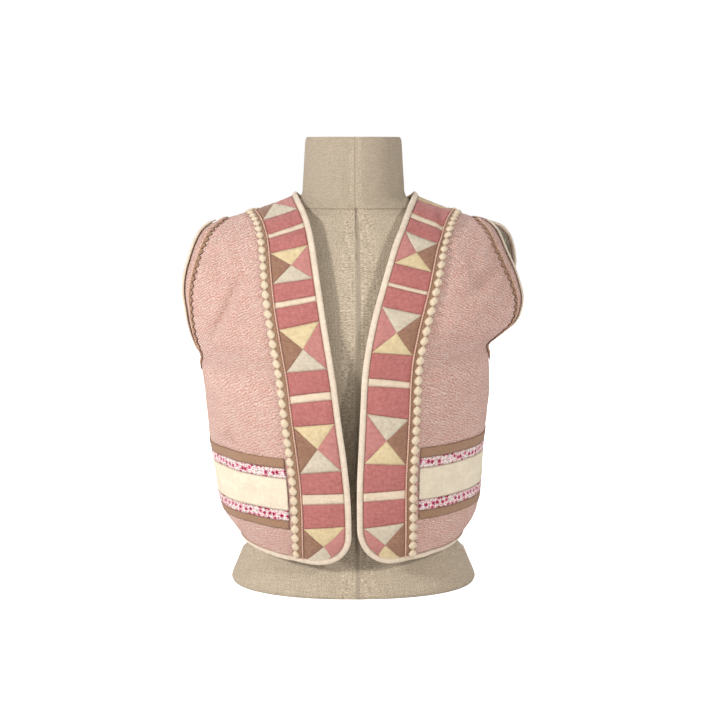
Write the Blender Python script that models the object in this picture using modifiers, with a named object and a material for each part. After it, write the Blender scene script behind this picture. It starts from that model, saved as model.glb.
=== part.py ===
"""An open patchwork vest resting on a limbless linen dress form.

The vest is cut and sewn from a back, two fronts, patchwork bands, tapes, hem strips and bindings.
Every cloth piece is a wall laid on one smooth surface, which is lofted through the section tables below.
The front looks along -Y, the picture's right is +X, up is +Z, and the origin is the middle of the base.
Lengths are metres. A side is -1 for the picture's left and +1 for its right.
"""
import math
from collections import namedtuple

import bmesh
import bpy
from mathutils import Vector
from mathutils.bvhtree import BVHTree

# Where the body's own axis stands, so that the whole part is centred on the origin
AXIS_X = 0.0003
AXIS_Y = 0.01086

# Cloth and trims
CLOTH_WALL = 0.0018
SEAM_GAP = 0.0003
LAY_GAP = 0.0004
NECK_LAY_GAP = 0.0007
BINDING_GAP = 0.0006
REST_GAP = 0.0006
TRIM_WALL = 0.0009
EDGE_BINDING_WIDTH = 0.0070
ARMHOLE_BINDING_WIDTH = 0.0050
BINDING_TOP = 0.0019
BAND_OUTER = 0.0550
PIPING_INNER, PIPING_OUTER = 0.0553, 0.0567
TAPE_INNER, TAPE_OUTER = 0.0571, 0.0655
BRAID_INNER, BRAID_OUTER = 0.0628, 0.0715
ARMHOLE_PIPING = (0.0093, 0.0105)
RICKRACK = (0.0110, 0.0186)
CORNER_RADIUS = 0.0360

# The front's lowest and highest section, at its open edge
HEM = 0.0360
SHOULDER = 0.4615
UNDERARM = 0.2500
SIDE_DROP = 0.0060
SIDE_DROP_RISE = 0.05
SIDE_DROP_FALL = 0.14
# How a front's section climbs from its open edge to the side: a quick rise, then a late swing
RISE_BOW = 0.75
SWING_BOW = 1.5

# Hem strips from the top down
STRIP_TOP = 0.1695
STRIP_HEIGHTS = (
    ("brown_ribbon_upper", 0.0118),
    ("flower_strip_upper", 0.0118),
    ("cream_strip", 0.0380),
    ("flower_strip_lower", 0.0128),
    ("brown_ribbon_lower", 0.0112),
)

# The back's neckline, along the panel's own edge
NECK_X = {-1: 0.0722, 1: 0.0762}
NECK_BACK_Y = 0.0690
NECK_DIP = 0.0140
NECK_DROP = 0.0045
NECK_SHARE = 0.40
SHOULDER_BOW = 0.85
# Above this section the back turns toward its neckline and shoulder seams
BACK_TURN = 0.4050
BACK_ROUNDING = 0.0130
EDGE_BOW = 6
BACK_RISE_BOW = 1.5

Section = namedtuple("Section", "height rise swing front back round")
SECTIONS = (
    Section(0.0360, 0.0145, 0.0080, 0.1150, 0.1015, 2.30),
    Section(0.0600, 0.0125, 0.0060, 0.1215, 0.1070, 2.30),
    Section(0.0800, 0.0090, 0.0055, 0.1250, 0.1090, 2.30),
    Section(0.1050, 0.0060, 0.0055, 0.1280, 0.1100, 2.30),
    Section(0.1350, 0.0050, 0.0058, 0.1310, 0.1115, 2.30),
    Section(0.1710, 0.0045, 0.0060, 0.1340, 0.1130, 2.30),
    Section(0.2100, 0.0075, 0.0040, 0.1370, 0.1150, 2.30),
    Section(0.2350, 0.0135, 0.0015, 0.1380, 0.1160, 2.30),
    Section(0.2500, 0.0205, 0.0000, 0.1380, 0.1165, 2.30),
    Section(0.2680, 0.0130, 0.0000, 0.1380, 0.1170, 2.30),
    Section(0.2850, 0.0065, 0.0000, 0.1375, 0.1175, 2.30),
    Section(0.3050, 0.0030, 0.0000, 0.1360, 0.1180, 2.30),
    Section(0.3300, 0.0000, 0.0000, 0.1310, 0.1180, 2.30),
    Section(0.3550, -0.0030, 0.0000, 0.1240, 0.1170, 2.25),
    Section(0.3800, -0.0065, 0.0000, 0.1130, 0.1140, 2.20),
    Section(0.4050, -0.0120, 0.0000, 0.0970, 0.1070, 2.15),
    Section(0.4235, -0.0165, 0.0000, 0.0800, 0.0990, 2.10),
    Section(0.4400, -0.0220, 0.0000, 0.0580, 0.0900, 2.10),
    Section(0.4530, -0.0275, 0.0000, 0.0320, 0.0800, 2.05),
    Section(0.4615, -0.0330, 0.0000, 0.0040, 0.0690, 2.00),
)

# Half-widths at the side seam and, above the underarm, the armhole's front and back edges
Side = namedtuple("Side", "height left_front right_front front_y left_back right_back back_y")
SIDES = (
    Side(0.0360, 0.132, 0.127, 0.000, 0.132, 0.127, 0.000),
    Side(0.0600, 0.145, 0.144, 0.000, 0.145, 0.144, 0.000),
    Side(0.0800, 0.155, 0.150, 0.000, 0.155, 0.150, 0.000),
    Side(0.1050, 0.161, 0.152, 0.000, 0.161, 0.152, 0.000),
    Side(0.1350, 0.165, 0.153, 0.000, 0.165, 0.153, 0.000),
    Side(0.1710, 0.171, 0.157, 0.000, 0.171, 0.157, 0.000),
    Side(0.2100, 0.175, 0.161, 0.000, 0.175, 0.161, 0.000),
    Side(0.2350, 0.178, 0.161, 0.000, 0.178, 0.161, 0.000),
    Side(0.2500, 0.180, 0.160, 0.000, 0.180, 0.160, 0.000),
    Side(0.2680, 0.180, 0.160, 0.023, 0.179, 0.160, 0.019),
    Side(0.2850, 0.183, 0.169, 0.040, 0.180, 0.167, 0.035),
    Side(0.3050, 0.188, 0.187, 0.048, 0.182, 0.178, 0.046),
    Side(0.3300, 0.192, 0.194, 0.051, 0.184, 0.186, 0.052),
    Side(0.3550, 0.195, 0.191, 0.050, 0.185, 0.191, 0.054),
    Side(0.3800, 0.193, 0.184, 0.045, 0.183, 0.194, 0.052),
    Side(0.4050, 0.188, 0.176, 0.037, 0.180, 0.191, 0.045),
    Side(0.4235, 0.183, 0.171, 0.029, 0.177, 0.184, 0.036),
    Side(0.4400, 0.177, 0.166, 0.020, 0.173, 0.174, 0.025),
    Side(0.4530, 0.168, 0.160, 0.010, 0.167, 0.163, 0.012),
    Side(0.4615, 0.160, 0.155, 0.000, 0.160, 0.155, 0.000),
)

BACK_TURN_ROW = next(i for i, row in enumerate(SECTIONS) if row.height >= BACK_TURN)

# How far each front's open edge is from the middle
Opening = namedtuple("Opening", "height left right")
OPENINGS = (
    Opening(0.0360, 0.0020, 0.0040),
    Opening(0.0900, 0.0020, 0.0038),
    Opening(0.1250, 0.0030, 0.0036),
    Opening(0.1690, 0.0073, 0.0055),
    Opening(0.2100, 0.0129, 0.0073),
    Opening(0.2540, 0.0186, 0.0096),
    Opening(0.2900, 0.0240, 0.0145),
    Opening(0.3300, 0.0306, 0.0235),
    Opening(0.3690, 0.0369, 0.0345),
    Opening(0.4000, 0.0420, 0.0435),
    Opening(0.4235, 0.0470, 0.0530),
    Opening(0.4400, 0.0530, 0.0592),
    Opening(0.4615, 0.0650, 0.0688),
)

# Soft folds, each a trough along a line in front or back view, or a ridge where the depth is negative
Fold = namedtuple("Fold", "face start_x start_z end_x end_z half_width depth")
FOLDS = (
    Fold("front", -0.122, 0.376, -0.168, 0.292, 0.012, 0.0034),
    Fold("front", -0.146, 0.205, -0.150, 0.120, 0.012, 0.0032),
    Fold("front", -0.118, 0.160, -0.112, 0.060, 0.015, 0.0016),
    Fold("front", 0.098, 0.440, 0.104, 0.398, 0.010, 0.0018),
    Fold("front", 0.130, 0.352, 0.168, 0.372, 0.014, 0.0022),
    Fold("front", 0.128, 0.190, 0.122, 0.080, 0.015, 0.0018),
    Fold("back", -0.060, 0.215, -0.066, 0.060, 0.016, 0.0034),
    Fold("back", 0.048, 0.190, 0.056, 0.055, 0.015, 0.0028),
    Fold("back", -0.150, 0.335, -0.095, 0.275, 0.014, 0.0026),
    Fold("back", 0.148, 0.345, 0.090, 0.300, 0.013, 0.0030),
)

# Where on its half wave a fold starts and ends, so that it fades out softly
FOLD_END = 0.12

Ring = namedtuple("Ring", "height half_width front back round")
FORM_RINGS = (
    Ring(0.0000, 0.1450, 0.1105, 0.0985, 2.2),
    Ring(0.0040, 0.1465, 0.1120, 0.1000, 2.2),
    Ring(0.0200, 0.1400, 0.1055, 0.0940, 2.2),
    Ring(0.0400, 0.1325, 0.0985, 0.0870, 2.2),
    Ring(0.0750, 0.1270, 0.0935, 0.0820, 2.2),
    Ring(0.1200, 0.1290, 0.0960, 0.0830, 2.2),
    Ring(0.1700, 0.1370, 0.1050, 0.0880, 2.2),
    Ring(0.2200, 0.1450, 0.1160, 0.0930, 2.2),
    Ring(0.2700, 0.1500, 0.1230, 0.0980, 2.2),
    Ring(0.3100, 0.1520, 0.1210, 0.1020, 2.2),
    Ring(0.3500, 0.1540, 0.1100, 0.1030, 2.2),
    Ring(0.3850, 0.1540, 0.0930, 0.0990, 2.1),
    Ring(0.4100, 0.1530, 0.0740, 0.0900, 2.1),
    Ring(0.4225, 0.1510, 0.0600, 0.0760, 2.0),
    Ring(0.4295, 0.1460, 0.0520, 0.0680, 2.0),
    Ring(0.4345, 0.1310, 0.0480, 0.0620, 2.0),
    Ring(0.4400, 0.1060, 0.0470, 0.0580, 2.0),
    Ring(0.4460, 0.0820, 0.0465, 0.0550, 2.0),
    Ring(0.4530, 0.0660, 0.0460, 0.0530, 2.0),
    Ring(0.4610, 0.0605, 0.0455, 0.0510, 2.0),
    Ring(0.4720, 0.0595, 0.0450, 0.0500, 2.0),
    Ring(0.4950, 0.0580, 0.0440, 0.0490, 2.0),
    Ring(0.5225, 0.0562, 0.0430, 0.0480, 2.0),
    Ring(0.5260, 0.0545, 0.0415, 0.0465, 2.0),
)
FORM_SEGMENTS = 40

# The grid lines that the panels and their trims share
EDGE_COLUMNS = (0.0200, 0.0360, 0.0460, BAND_OUTER, BRAID_OUTER)
OUTER_CELLS = 7
BACK_HALF_CELLS = 10
LOWER_ROWS = (0.0540, 0.0670, 0.0790)
UPPER_ROWS = (0.1900, 0.2100, 0.2300, UNDERARM, 0.2680, 0.2850, 0.3050, 0.3300, 0.3550, 0.3800,
              0.4050, 0.4235, 0.4400, 0.4530, SHOULDER)
ARC_SAMPLES = 48
FINE_STEPS = 4
SETTLE_STEPS = 5

MATERIALS = {
    "pink_crinkle": ((0.72, 0.44, 0.39), 0.85),
    "patchwork": ((0.52, 0.22, 0.20), 0.80),
    "light_piping": ((0.80, 0.55, 0.45), 0.75),
    "brown_tape": ((0.30, 0.17, 0.10), 0.80),
    "cream_braid": ((0.80, 0.66, 0.45), 0.80),
    "cream_binding": ((0.84, 0.72, 0.55), 0.75),
    "cream_cotton": ((0.86, 0.76, 0.58), 0.80),
    "flower_cotton": ((0.80, 0.60, 0.58), 0.80),
    "form_linen": ((0.55, 0.44, 0.32), 0.90),
}


def table_value(rows, column, at):
    """A column's value at a height, smooth between the table's rows."""
    heights = [row.height for row in rows]
    values = [getattr(row, column) for row in rows]
    return smooth_between(heights, values, at)


def slope_at(places, values, index):
    """The slope at one row, from its neighbours."""
    low = max(index - 1, 0)
    high = min(index + 1, len(places) - 1)
    return (values[high] - values[low]) * (1.0 / (places[high] - places[low]))


def smooth_between(places, values, at):
    """Cubic interpolation through uneven steps. The values are numbers or vectors."""
    last = len(places) - 2
    index = next((i for i in range(last) if at < places[i + 1]), last)
    step = places[index + 1] - places[index]
    t = (at - places[index]) / step
    start_slope = slope_at(places, values, index) * step
    end_slope = slope_at(places, values, index + 1) * step
    rise = values[index + 1] - values[index]
    curve = start_slope * (t * (1 - t) ** 2) - end_slope * (t * t * (1 - t))
    return values[index] + rise * (t * t * (3 - 2 * t)) + curve


def side_name(side):
    """left or right, as the picture shows them."""
    return "left" if side < 0 else "right"


def side_drop(height):
    """How much the left front hangs lower than the right one, each way from the middle."""
    risen = min(max((height - HEM) / SIDE_DROP_RISE, 0.0), 1.0)
    fallen = min(max((SHOULDER - height) / SIDE_DROP_FALL, 0.0), 1.0)
    return SIDE_DROP * risen * fallen


def arc_of_section(half_width, depth, roundness, out_y, start_x):
    """A plan curve from start_x on the section out to its end, with its running length."""
    share = (abs(out_y) / depth) ** (roundness / 2) if out_y else 0.0
    end_angle = math.acos(min(share, 1.0))
    full = half_width / math.sin(end_angle) ** (2 / roundness)
    start_angle = math.asin(min((start_x / full) ** (roundness / 2), 1.0))
    points = []
    for i in range(ARC_SAMPLES + 1):
        angle = start_angle + (end_angle - start_angle) * i / ARC_SAMPLES
        x = full * math.sin(angle) ** (2 / roundness)
        y = depth * max(math.cos(angle), 0.0) ** (2 / roundness)
        points.append(Vector((x, y)))
    lengths = [0.0]
    for i in range(ARC_SAMPLES):
        lengths.append(lengths[-1] + (points[i + 1] - points[i]).length)
    return points, lengths


def along(points, lengths, distance):
    """The point at a distance along a sampled curve."""
    distance = min(max(distance, 0.0), lengths[-1])
    i = next((k for k in range(len(lengths) - 2) if distance < lengths[k + 1]), len(lengths) - 2)
    t = (distance - lengths[i]) / (lengths[i + 1] - lengths[i])
    return points[i].lerp(points[i + 1], t)


def fold_depth(face, x, z):
    """How deep the soft folds are at a place in front or back view."""
    total = 0.0
    for fold in FOLDS:
        if fold.face != face:
            continue
        start = Vector((fold.start_x, fold.start_z))
        line = Vector((fold.end_x, fold.end_z)) - start
        place = Vector((x, z)) - start
        t = min(max(place.dot(line) / line.length_squared, 0.0), 1.0)
        away = (place - line * t).length / fold.half_width
        ends = math.sin(math.pi * (FOLD_END + (1 - 2 * FOLD_END) * t))
        total += fold.depth * ends * math.exp(-away * away)
    return total


class Panel:
    """A cloth panel: a surface over a column u and a section height, with its soft folds."""

    def __init__(self, face):
        self.face = face
        self.cache = {}

    def plain_point(self, u, height):
        if u not in self.cache:
            self.cache[u] = [self.section_point(i, u) for i in range(len(SECTIONS))]
        heights = [row.height for row in SECTIONS]
        return smooth_between(heights, self.cache[u], height)

    def plain_normal(self, u, height):
        step = 0.0015
        low, high = max(u - step, 0.0), min(u + step, 1.0)
        across = self.plain_point(high, height) - self.plain_point(low, height)
        down, top = max(height - step, HEM), min(height + step, SHOULDER)
        upward = self.plain_point(u, top) - self.plain_point(u, down)
        return (across.cross(upward) * self.turn).normalized()

    def point(self, u, height, lift=0.0):
        place = self.plain_point(u, height)
        depth = fold_depth(self.face, place.x - AXIS_X, place.z)
        return place + self.plain_normal(u, height) * (lift - depth)


class Front(Panel):
    """A front, whose column is metres from its open edge up to the braid, then a share of the rest."""

    def __init__(self, side):
        super().__init__("front")
        self.side = side
        self.turn = side
        self.arcs = [self.section_arc(i) for i in range(len(SECTIONS))]

    def section_arc(self, i):
        section, name = SECTIONS[i], side_name(self.side)
        half_width = getattr(SIDES[i], name + "_front")
        start_x = table_value(OPENINGS, name, section.height)
        return arc_of_section(half_width, section.front, section.round, SIDES[i].front_y, start_x)

    def section_point(self, i, u):
        points, lengths = self.arcs[i]
        share = max(u - BRAID_OUTER, 0.0) / (1 - BRAID_OUTER)
        distance = min(u, BRAID_OUTER) + share * (lengths[-1] - BRAID_OUTER)
        place = along(points, lengths, distance)
        section = SECTIONS[i]
        level = section.height + self.side * side_drop(section.height)
        share_out = distance / lengths[-1]
        height = level + section.rise * share_out ** RISE_BOW + section.swing * share_out ** SWING_BOW
        return Vector((AXIS_X + self.side * place.x, AXIS_Y - place.y, height))

    def rounded(self, u, height):
        """Turns the lower front corner of the panel into an arc."""
        edge = EDGE_BINDING_WIDTH + SEAM_GAP
        radius = CORNER_RADIUS - edge
        a = 1 - (u - edge) / radius
        b = 1 - (height - HEM - edge) / radius
        if a <= 0 or b <= 0:
            return u, height
        arc_a = a * math.sqrt(1 - b * b / 2)
        arc_b = b * math.sqrt(1 - a * a / 2)
        return edge + radius * (1 - arc_a), HEM + edge + radius * (1 - arc_b)

    def point(self, u, height, lift=0.0):
        return super().point(*self.rounded(u, height), lift)


class Back(Panel):
    """The back, whose column runs from 0 at the picture's left to 1 at its right."""

    def __init__(self):
        super().__init__("back")
        self.turn = -1
        self.arcs = {}
        for side in (-1, 1):
            self.arcs[side] = [self.section_arc(i, side) for i in range(len(SECTIONS))]

    def section_arc(self, i, side):
        half_width = getattr(SIDES[i], side_name(side) + "_back")
        return arc_of_section(half_width, SECTIONS[i].back, SECTIONS[i].round, SIDES[i].back_y, 0.0)

    def top_point(self, side, share):
        """The top section follows the back neck, then the shoulder seam."""
        tip = SIDES[-1].left_back if side < 0 else SIDES[-1].right_back
        neck_z = SHOULDER - NECK_DROP
        if share < NECK_SHARE:
            angle = math.pi / 2 * share / NECK_SHARE
            dip = NECK_DIP * math.cos(angle) ** 2
            return Vector((NECK_X[side] * math.sin(angle), NECK_BACK_Y * math.cos(angle), neck_z - dip))
        t = (share - NECK_SHARE) / (1 - NECK_SHARE)
        fall = (SECTIONS[-1].rise + NECK_DROP) * t ** SHOULDER_BOW
        return Vector((NECK_X[side] + (tip - NECK_X[side]) * t, 0.0, neck_z + fall))

    def section_point(self, i, u):
        side = -1 if u < 0.5 else 1
        share = abs(2 * u - 1)
        turned = (SECTIONS[i].height - BACK_TURN) / (SHOULDER - BACK_TURN)
        if turned <= 0:
            place = self.level_point(i, side, share)
        else:
            start = self.level_point(BACK_TURN_ROW, side, share)
            place = start.lerp(self.top_point(side, share), turned)
            rounding = BACK_ROUNDING * math.sin(math.pi * turned) * (1 - share / 2)
            place += Vector((0.0, rounding, rounding))
            place.x += self.edge_bow(i, side) * share ** EDGE_BOW
        return Vector((AXIS_X + side * place.x, AXIS_Y + place.y, place.z))

    def edge_bow(self, i, side):
        """How far an upper section's armhole end is from the straight line to the shoulder tip."""
        column = side_name(side) + "_back"
        start, tip = (getattr(SIDES[k], column) for k in (BACK_TURN_ROW, len(SIDES) - 1))
        turned = (SECTIONS[i].height - BACK_TURN) / (SHOULDER - BACK_TURN)
        return getattr(SIDES[i], column) - start - (tip - start) * turned

    def level_point(self, i, side, share):
        """A place on a nearly level section, on the side's own half."""
        points, lengths = self.arcs[side][i]
        place = along(points, lengths, share * lengths[-1])
        section = SECTIONS[i]
        middle = section.height + max(section.rise, 0.0) + section.swing
        end = section.height + section.rise + section.swing + side * side_drop(section.height)
        height = middle + (end - middle) * share ** BACK_RISE_BOW
        return Vector((place.x, place.y, height))


def strip_levels():
    """The heights of the strips' edges, from the top down."""
    levels = [STRIP_TOP]
    for _, height in STRIP_HEIGHTS:
        levels.append(levels[-1] - height)
    return levels


def cream_middle():
    levels = strip_levels()
    return (levels[2] + levels[3]) / 2


def panel_rows():
    """The section heights of the shared grid."""
    first = HEM + EDGE_BINDING_WIDTH + SEAM_GAP
    return sorted({first, cream_middle(), *LOWER_ROWS, *strip_levels(), *UPPER_ROWS})


def front_columns():
    first = EDGE_BINDING_WIDTH + SEAM_GAP
    outer = [BRAID_OUTER + (1 - BRAID_OUTER) * i / OUTER_CELLS for i in range(1, OUTER_CELLS + 1)]
    return [first, *EDGE_COLUMNS, *outer]


def back_columns():
    return [i / (2 * BACK_HALF_CELLS) for i in range(2 * BACK_HALF_CELLS + 1)]


def make_material(name):
    colour, roughness = MATERIALS[name]
    material = bpy.data.materials.get(name) or bpy.data.materials.new(name)
    material.use_nodes = True
    shader = material.node_tree.nodes["Principled BSDF"]
    shader.inputs["Base Color"].default_value = (*colour, 1.0)
    shader.inputs["Roughness"].default_value = roughness
    shader.inputs["Metallic"].default_value = 0.0
    return material


def add_object(name, bm, material, collection):
    """Makes a named, smooth object from a bmesh."""
    mesh = bpy.data.meshes.new(name)
    bm.to_mesh(mesh)
    bm.free()
    mesh.shade_smooth()
    mesh.materials.append(make_material(material))
    piece = bpy.data.objects.new(name, mesh)
    collection.objects.link(piece)
    return piece


def grid_of(points, close_rows=False, close_columns=False):
    """A quad grid through a list of rows of points, welded where it closes on itself."""
    rows = points + points[:1] if close_rows else points
    if close_columns:
        rows = [row + row[:1] for row in rows]
    across, up = len(rows[0]) - 1, len(rows) - 1
    bm = bmesh.new()
    bmesh.ops.create_grid(bm, x_segments=across, y_segments=up, size=1.0)
    for vert in bm.verts:
        column = round((vert.co.x + 1) / 2 * across)
        row = round((vert.co.y + 1) / 2 * up)
        vert.co = rows[row][column]
    if close_rows or close_columns:
        bmesh.ops.remove_doubles(bm, verts=bm.verts, dist=1e-6)
    bmesh.ops.triangulate(bm, faces=bm.faces, quad_method="FIXED")
    return bm


def add_wall(name, points, wall, outward, material, collection, close_rows=False):
    """A sheet thickened to a wall, inward for a panel and outward for what lies on it."""
    piece = add_object(name, grid_of(points, close_rows), material, collection)
    bm = bmesh.new()
    bm.from_mesh(piece.data)
    middle = points[len(points) // 2][len(points[0]) // 2]
    axis = Vector((AXIS_X, AXIS_Y, middle.z))
    face = min(bm.faces, key=lambda f: (f.calc_center_median() - middle).length)
    if face.normal.dot(middle - axis) < 0:
        bmesh.ops.reverse_faces(bm, faces=bm.faces)
    bm.to_mesh(piece.data)
    bm.free()
    solidify = piece.modifiers.new("wall", "SOLIDIFY")
    solidify.thickness = wall
    solidify.offset = 1.0 if outward else -1.0
    return piece


def add_loop(name, sections, material, collection):
    """A closed band of cloth swept round a loop of sections."""
    bm = grid_of(sections, close_rows=True, close_columns=True)
    bmesh.ops.recalc_face_normals(bm, faces=bm.faces)
    return add_object(name, bm, material, collection)


class Vest:
    """The three panels and the fine surface that the curved trims are laid on."""

    def __init__(self):
        self.fronts = {side: Front(side) for side in (-1, 1)}
        self.back = Back()
        self.rows = panel_rows()
        self.tree = self.panel_tree(FINE_STEPS)
        self.facets = self.panel_tree(1)

    def panel_tree(self, steps):
        """A search tree over the three panels' outer faces, with each grid cell cut in steps."""
        joined = bmesh.new()
        panels = [(self.fronts[side], front_columns()) for side in (-1, 1)]
        panels.append((self.back, back_columns()))
        for panel, columns in panels:
            us, heights = refine(columns, steps), refine(self.rows, steps)
            sheet = grid_of([[panel.point(u, height) for u in us] for height in heights])
            mesh = bpy.data.meshes.new("panel_facets")
            sheet.to_mesh(mesh)
            sheet.free()
            joined.from_mesh(mesh)
            bpy.data.meshes.remove(mesh)
        tree = BVHTree.FromBMesh(joined)
        joined.free()
        return tree

    def height_over(self, place):
        """How far a place is above the panels' facets, or below them where negative."""
        nearest, _, _, distance = self.facets.find_nearest(place)
        return math.copysign(distance, (place - nearest).dot(self.normal_near(nearest)))

    def normal_near(self, place):
        normal = self.tree.find_nearest(place)[1]
        axis = Vector((AXIS_X, AXIS_Y, place.z - 0.05))
        return normal if normal.dot(place - axis) > 0 else -normal

    def soft_normal(self, place, reach=0.004):
        """The normal averaged a little way round, so that facets don't show in the trims."""
        first = self.normal_near(place)
        side = first.orthogonal().normalized()
        other = first.cross(side)
        total = first.copy()
        for direction in (side, -side, other, -other):
            total += self.normal_near(place + direction * reach)
        return total.normalized()

    def march(self, place, direction, distance, steps=5):
        """Walks a distance over the cloth and gives the place and normal where it ends."""
        normal = self.soft_normal(place)
        for _ in range(steps):
            direction = (direction - normal * direction.dot(normal)).normalized()
            target = place + direction * (distance / steps)
            place = self.tree.find_nearest(target)[0]
            normal = self.soft_normal(place)
        return place, normal


def refine(places, steps):
    """The same places with more steps between each two."""
    fine = []
    for start, end in zip(places, places[1:]):
        fine.extend(start + (end - start) * k / steps for k in range(steps))
    return fine + [places[-1]]


def settle(vest, rows, clearance, closed=False):
    """Lifts a trim's points until its edges and middles clear the panels' facets too."""
    for _ in range(3):
        lifts = {}
        last = len(rows) if closed else len(rows) - 1
        for i in range(last):
            after = (i + 1) % len(rows)
            for k in range(len(rows[i]) - 1):
                corners = ((i, k), (i, k + 1), (after, k), (after, k + 1))
                short = clearance - lowest_between(vest, [rows[a][b] for a, b in corners])
                for corner in corners:
                    lifts[corner] = max(lifts.get(corner, 0.0), short)
        for (a, b), lift in lifts.items():
            rows[a][b] = rows[a][b] + vest.normal_near(rows[a][b]) * lift
    return rows


def lowest_between(vest, corners):
    """The least height over the facets, anywhere on the patch between four corners."""
    first, second, third, fourth = corners
    steps = [i / SETTLE_STEPS for i in range(SETTLE_STEPS + 1)]
    places = [first.lerp(second, a).lerp(third.lerp(fourth, a), b) for a in steps for b in steps]
    return min(vest.height_over(place) for place in places)


def add_panels(vest, collection):
    for side, front in vest.fronts.items():
        columns = front_columns()
        points = [[front.point(u, height) for u in columns] for height in vest.rows]
        part_at_seams(points, front.face)
        add_wall(f"front_{side_name(side)}", points, CLOTH_WALL, False, "pink_crinkle", collection)
    columns = back_columns()
    points = [[vest.back.point(u, height) for u in columns] for height in vest.rows]
    part_at_seams(points, vest.back.face)
    add_wall("back", points, CLOTH_WALL, False, "pink_crinkle", collection)


def part_at_seams(points, face):
    """Draws a panel's side and shoulder seams back a little, along the cloth."""
    ends = ((-1, -2),) if face == "front" else ((0, 1), (-1, -2))
    for row in points:
        for end, inner in ends:
            row[end] = row[end] + (row[inner] - row[end]).normalized() * SEAM_GAP
    shoulder_parted(points)


def shoulder_parted(points):
    """Draws a panel's or trim's upper end back from the shoulder seam."""
    pairs = zip(points[-1], points[-2])
    points[-1] = [end + (near - end).normalized() * SEAM_GAP for end, near in pairs]
    return points


def add_front_trims(vest, collection):
    """The band and the narrow trims beside it, on the fronts' own grid rows."""
    low = [u for u in front_columns() if u <= BAND_OUTER]
    trims = (
        ("patchwork_band", low, LAY_GAP, "patchwork"),
        ("band_piping", (PIPING_INNER, PIPING_OUTER), LAY_GAP, "light_piping"),
        ("brown_tape", (TAPE_INNER, TAPE_OUTER), LAY_GAP, "brown_tape"),
        ("diamond_braid", (BRAID_INNER, BRAID_OUTER), LAY_GAP * 2 + TRIM_WALL, "cream_braid"),
    )
    for side, front in vest.fronts.items():
        for name, columns, lift, material in trims:
            points = [[front.point(u, height, lift) for u in columns] for height in vest.rows]
            points = shoulder_parted(points)
            add_wall(f"{name}_{side_name(side)}", points, TRIM_WALL, True, material, collection)


def strip_rows(index):
    """The grid rows of one hem strip, parted from its neighbours by the seam gap."""
    levels = strip_levels()
    top, bottom = levels[index] - SEAM_GAP / 2, levels[index + 1] + SEAM_GAP / 2
    inner = [row for row in panel_rows() if bottom + SEAM_GAP < row < top - SEAM_GAP]
    return [bottom, *inner, top]


def add_hem_strips(vest, collection):
    materials = {"brown": "brown_tape", "flower": "flower_cotton", "cream": "cream_cotton"}
    start = BRAID_OUTER + SEAM_GAP
    front_us = [start] + [u for u in front_columns() if u > start]
    for index, (name, _) in enumerate(STRIP_HEIGHTS):
        material = materials[name.split("_")[0]]
        panels = [(side_name(side), front, front_us) for side, front in vest.fronts.items()]
        panels.append(("back", vest.back, back_columns()))
        for place, panel, columns in panels:
            points = [[panel.point(u, h, LAY_GAP) for u in columns] for h in strip_rows(index)]
            for row in points:
                row[-1] = row[-1] + (row[-2] - row[-1]).normalized() * SEAM_GAP
                if place == "back":
                    row[0] = row[0] + (row[1] - row[0]).normalized() * SEAM_GAP
            add_wall(f"{name}_{place}", points, TRIM_WALL, True, material, collection)


def armhole_edge(vest, side):
    """The armhole's edge on the panels, from the underarm up the front and down the back."""
    heights = [row for row in vest.rows if row >= UNDERARM]
    front = [vest.fronts[side].point(1.0, height) for height in heights]
    outer = 0.0 if side < 0 else 1.0
    back = [vest.back.point(outer, height) for height in reversed(heights[1:-1])]
    return front + back


def back_neck_edge(vest, steps=1):
    """The back neckline from the picture's left to its right, with the seam's places at its ends."""
    half = NECK_SHARE / 2 + 1e-6
    columns = [u for u in back_columns() if abs(u - 0.5) <= half]
    return [vest.back.point(u, SHOULDER) for u in refine(columns, steps)]


def outer_edge(vest):
    """The loop that the edge binding follows: up the right front, round the neck, and round the hem."""
    first = EDGE_BINDING_WIDTH + SEAM_GAP
    bottom = HEM + first
    side_rows = [row for row in vest.rows if row >= bottom]
    near = [first, (first + EDGE_COLUMNS[0]) / 2]
    hem_us = near + [u for u in front_columns() if u > first]
    low = [side_rows[0], (side_rows[0] + side_rows[1]) / 2] + side_rows[1:]
    right, left = vest.fronts[1], vest.fronts[-1]
    loop = [right.point(first, height) for height in low[1:-1]]
    loop += reversed(back_neck_edge(vest))
    loop += [left.point(first, height) for height in reversed(low[1:-1])]
    loop += [left.point(u, bottom) for u in hem_us[:-1]]
    loop += [vest.back.point(u, bottom) for u in back_columns()]
    loop += [right.point(u, bottom) for u in reversed(hem_us[:-1])]
    return loop


def loop_frames(vest, edge):
    """For each place on a closed edge: the place, the way out past the edge, and the normal."""
    frames = []
    count = len(edge)
    for i, place in enumerate(edge):
        run = (edge[(i + 1) % count] - edge[i - 1]).normalized()
        normal = vest.soft_normal(place)
        frames.append((place, run.cross(normal).normalized(), normal))
    return frames


def face_out(frames, centre):
    """Turns every way out to point toward the opening's centre."""
    score = sum(way.dot(centre - place) for place, way, _ in frames)
    if score > 0:
        return frames
    return [(place, -way, normal) for place, way, normal in frames]


def binding_sections(frames, width):
    """The rounded section of a binding, at each frame: (way out, height over the cloth)."""
    profile = (
        (BINDING_GAP * 1.7, -CLOTH_WALL),
        (width * 0.8, -CLOTH_WALL),
        (width, 0.0),
        (width * 0.8, BINDING_TOP * 0.85),
        (width * 0.4, BINDING_TOP),
        (BINDING_GAP, BINDING_TOP * 0.7),
    )
    return [[place + way * out + normal * up for out, up in profile] for place, way, normal in frames]


def add_edge_binding(vest, collection):
    frames = loop_frames(vest, outer_edge(vest))
    first_way_out = frames[0][1]
    if first_way_out.x > 0:
        frames = [(place, -way, normal) for place, way, normal in frames]
    sections = binding_sections(frames, EDGE_BINDING_WIDTH)
    add_loop("edge_binding", sections, "cream_binding", collection)


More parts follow.
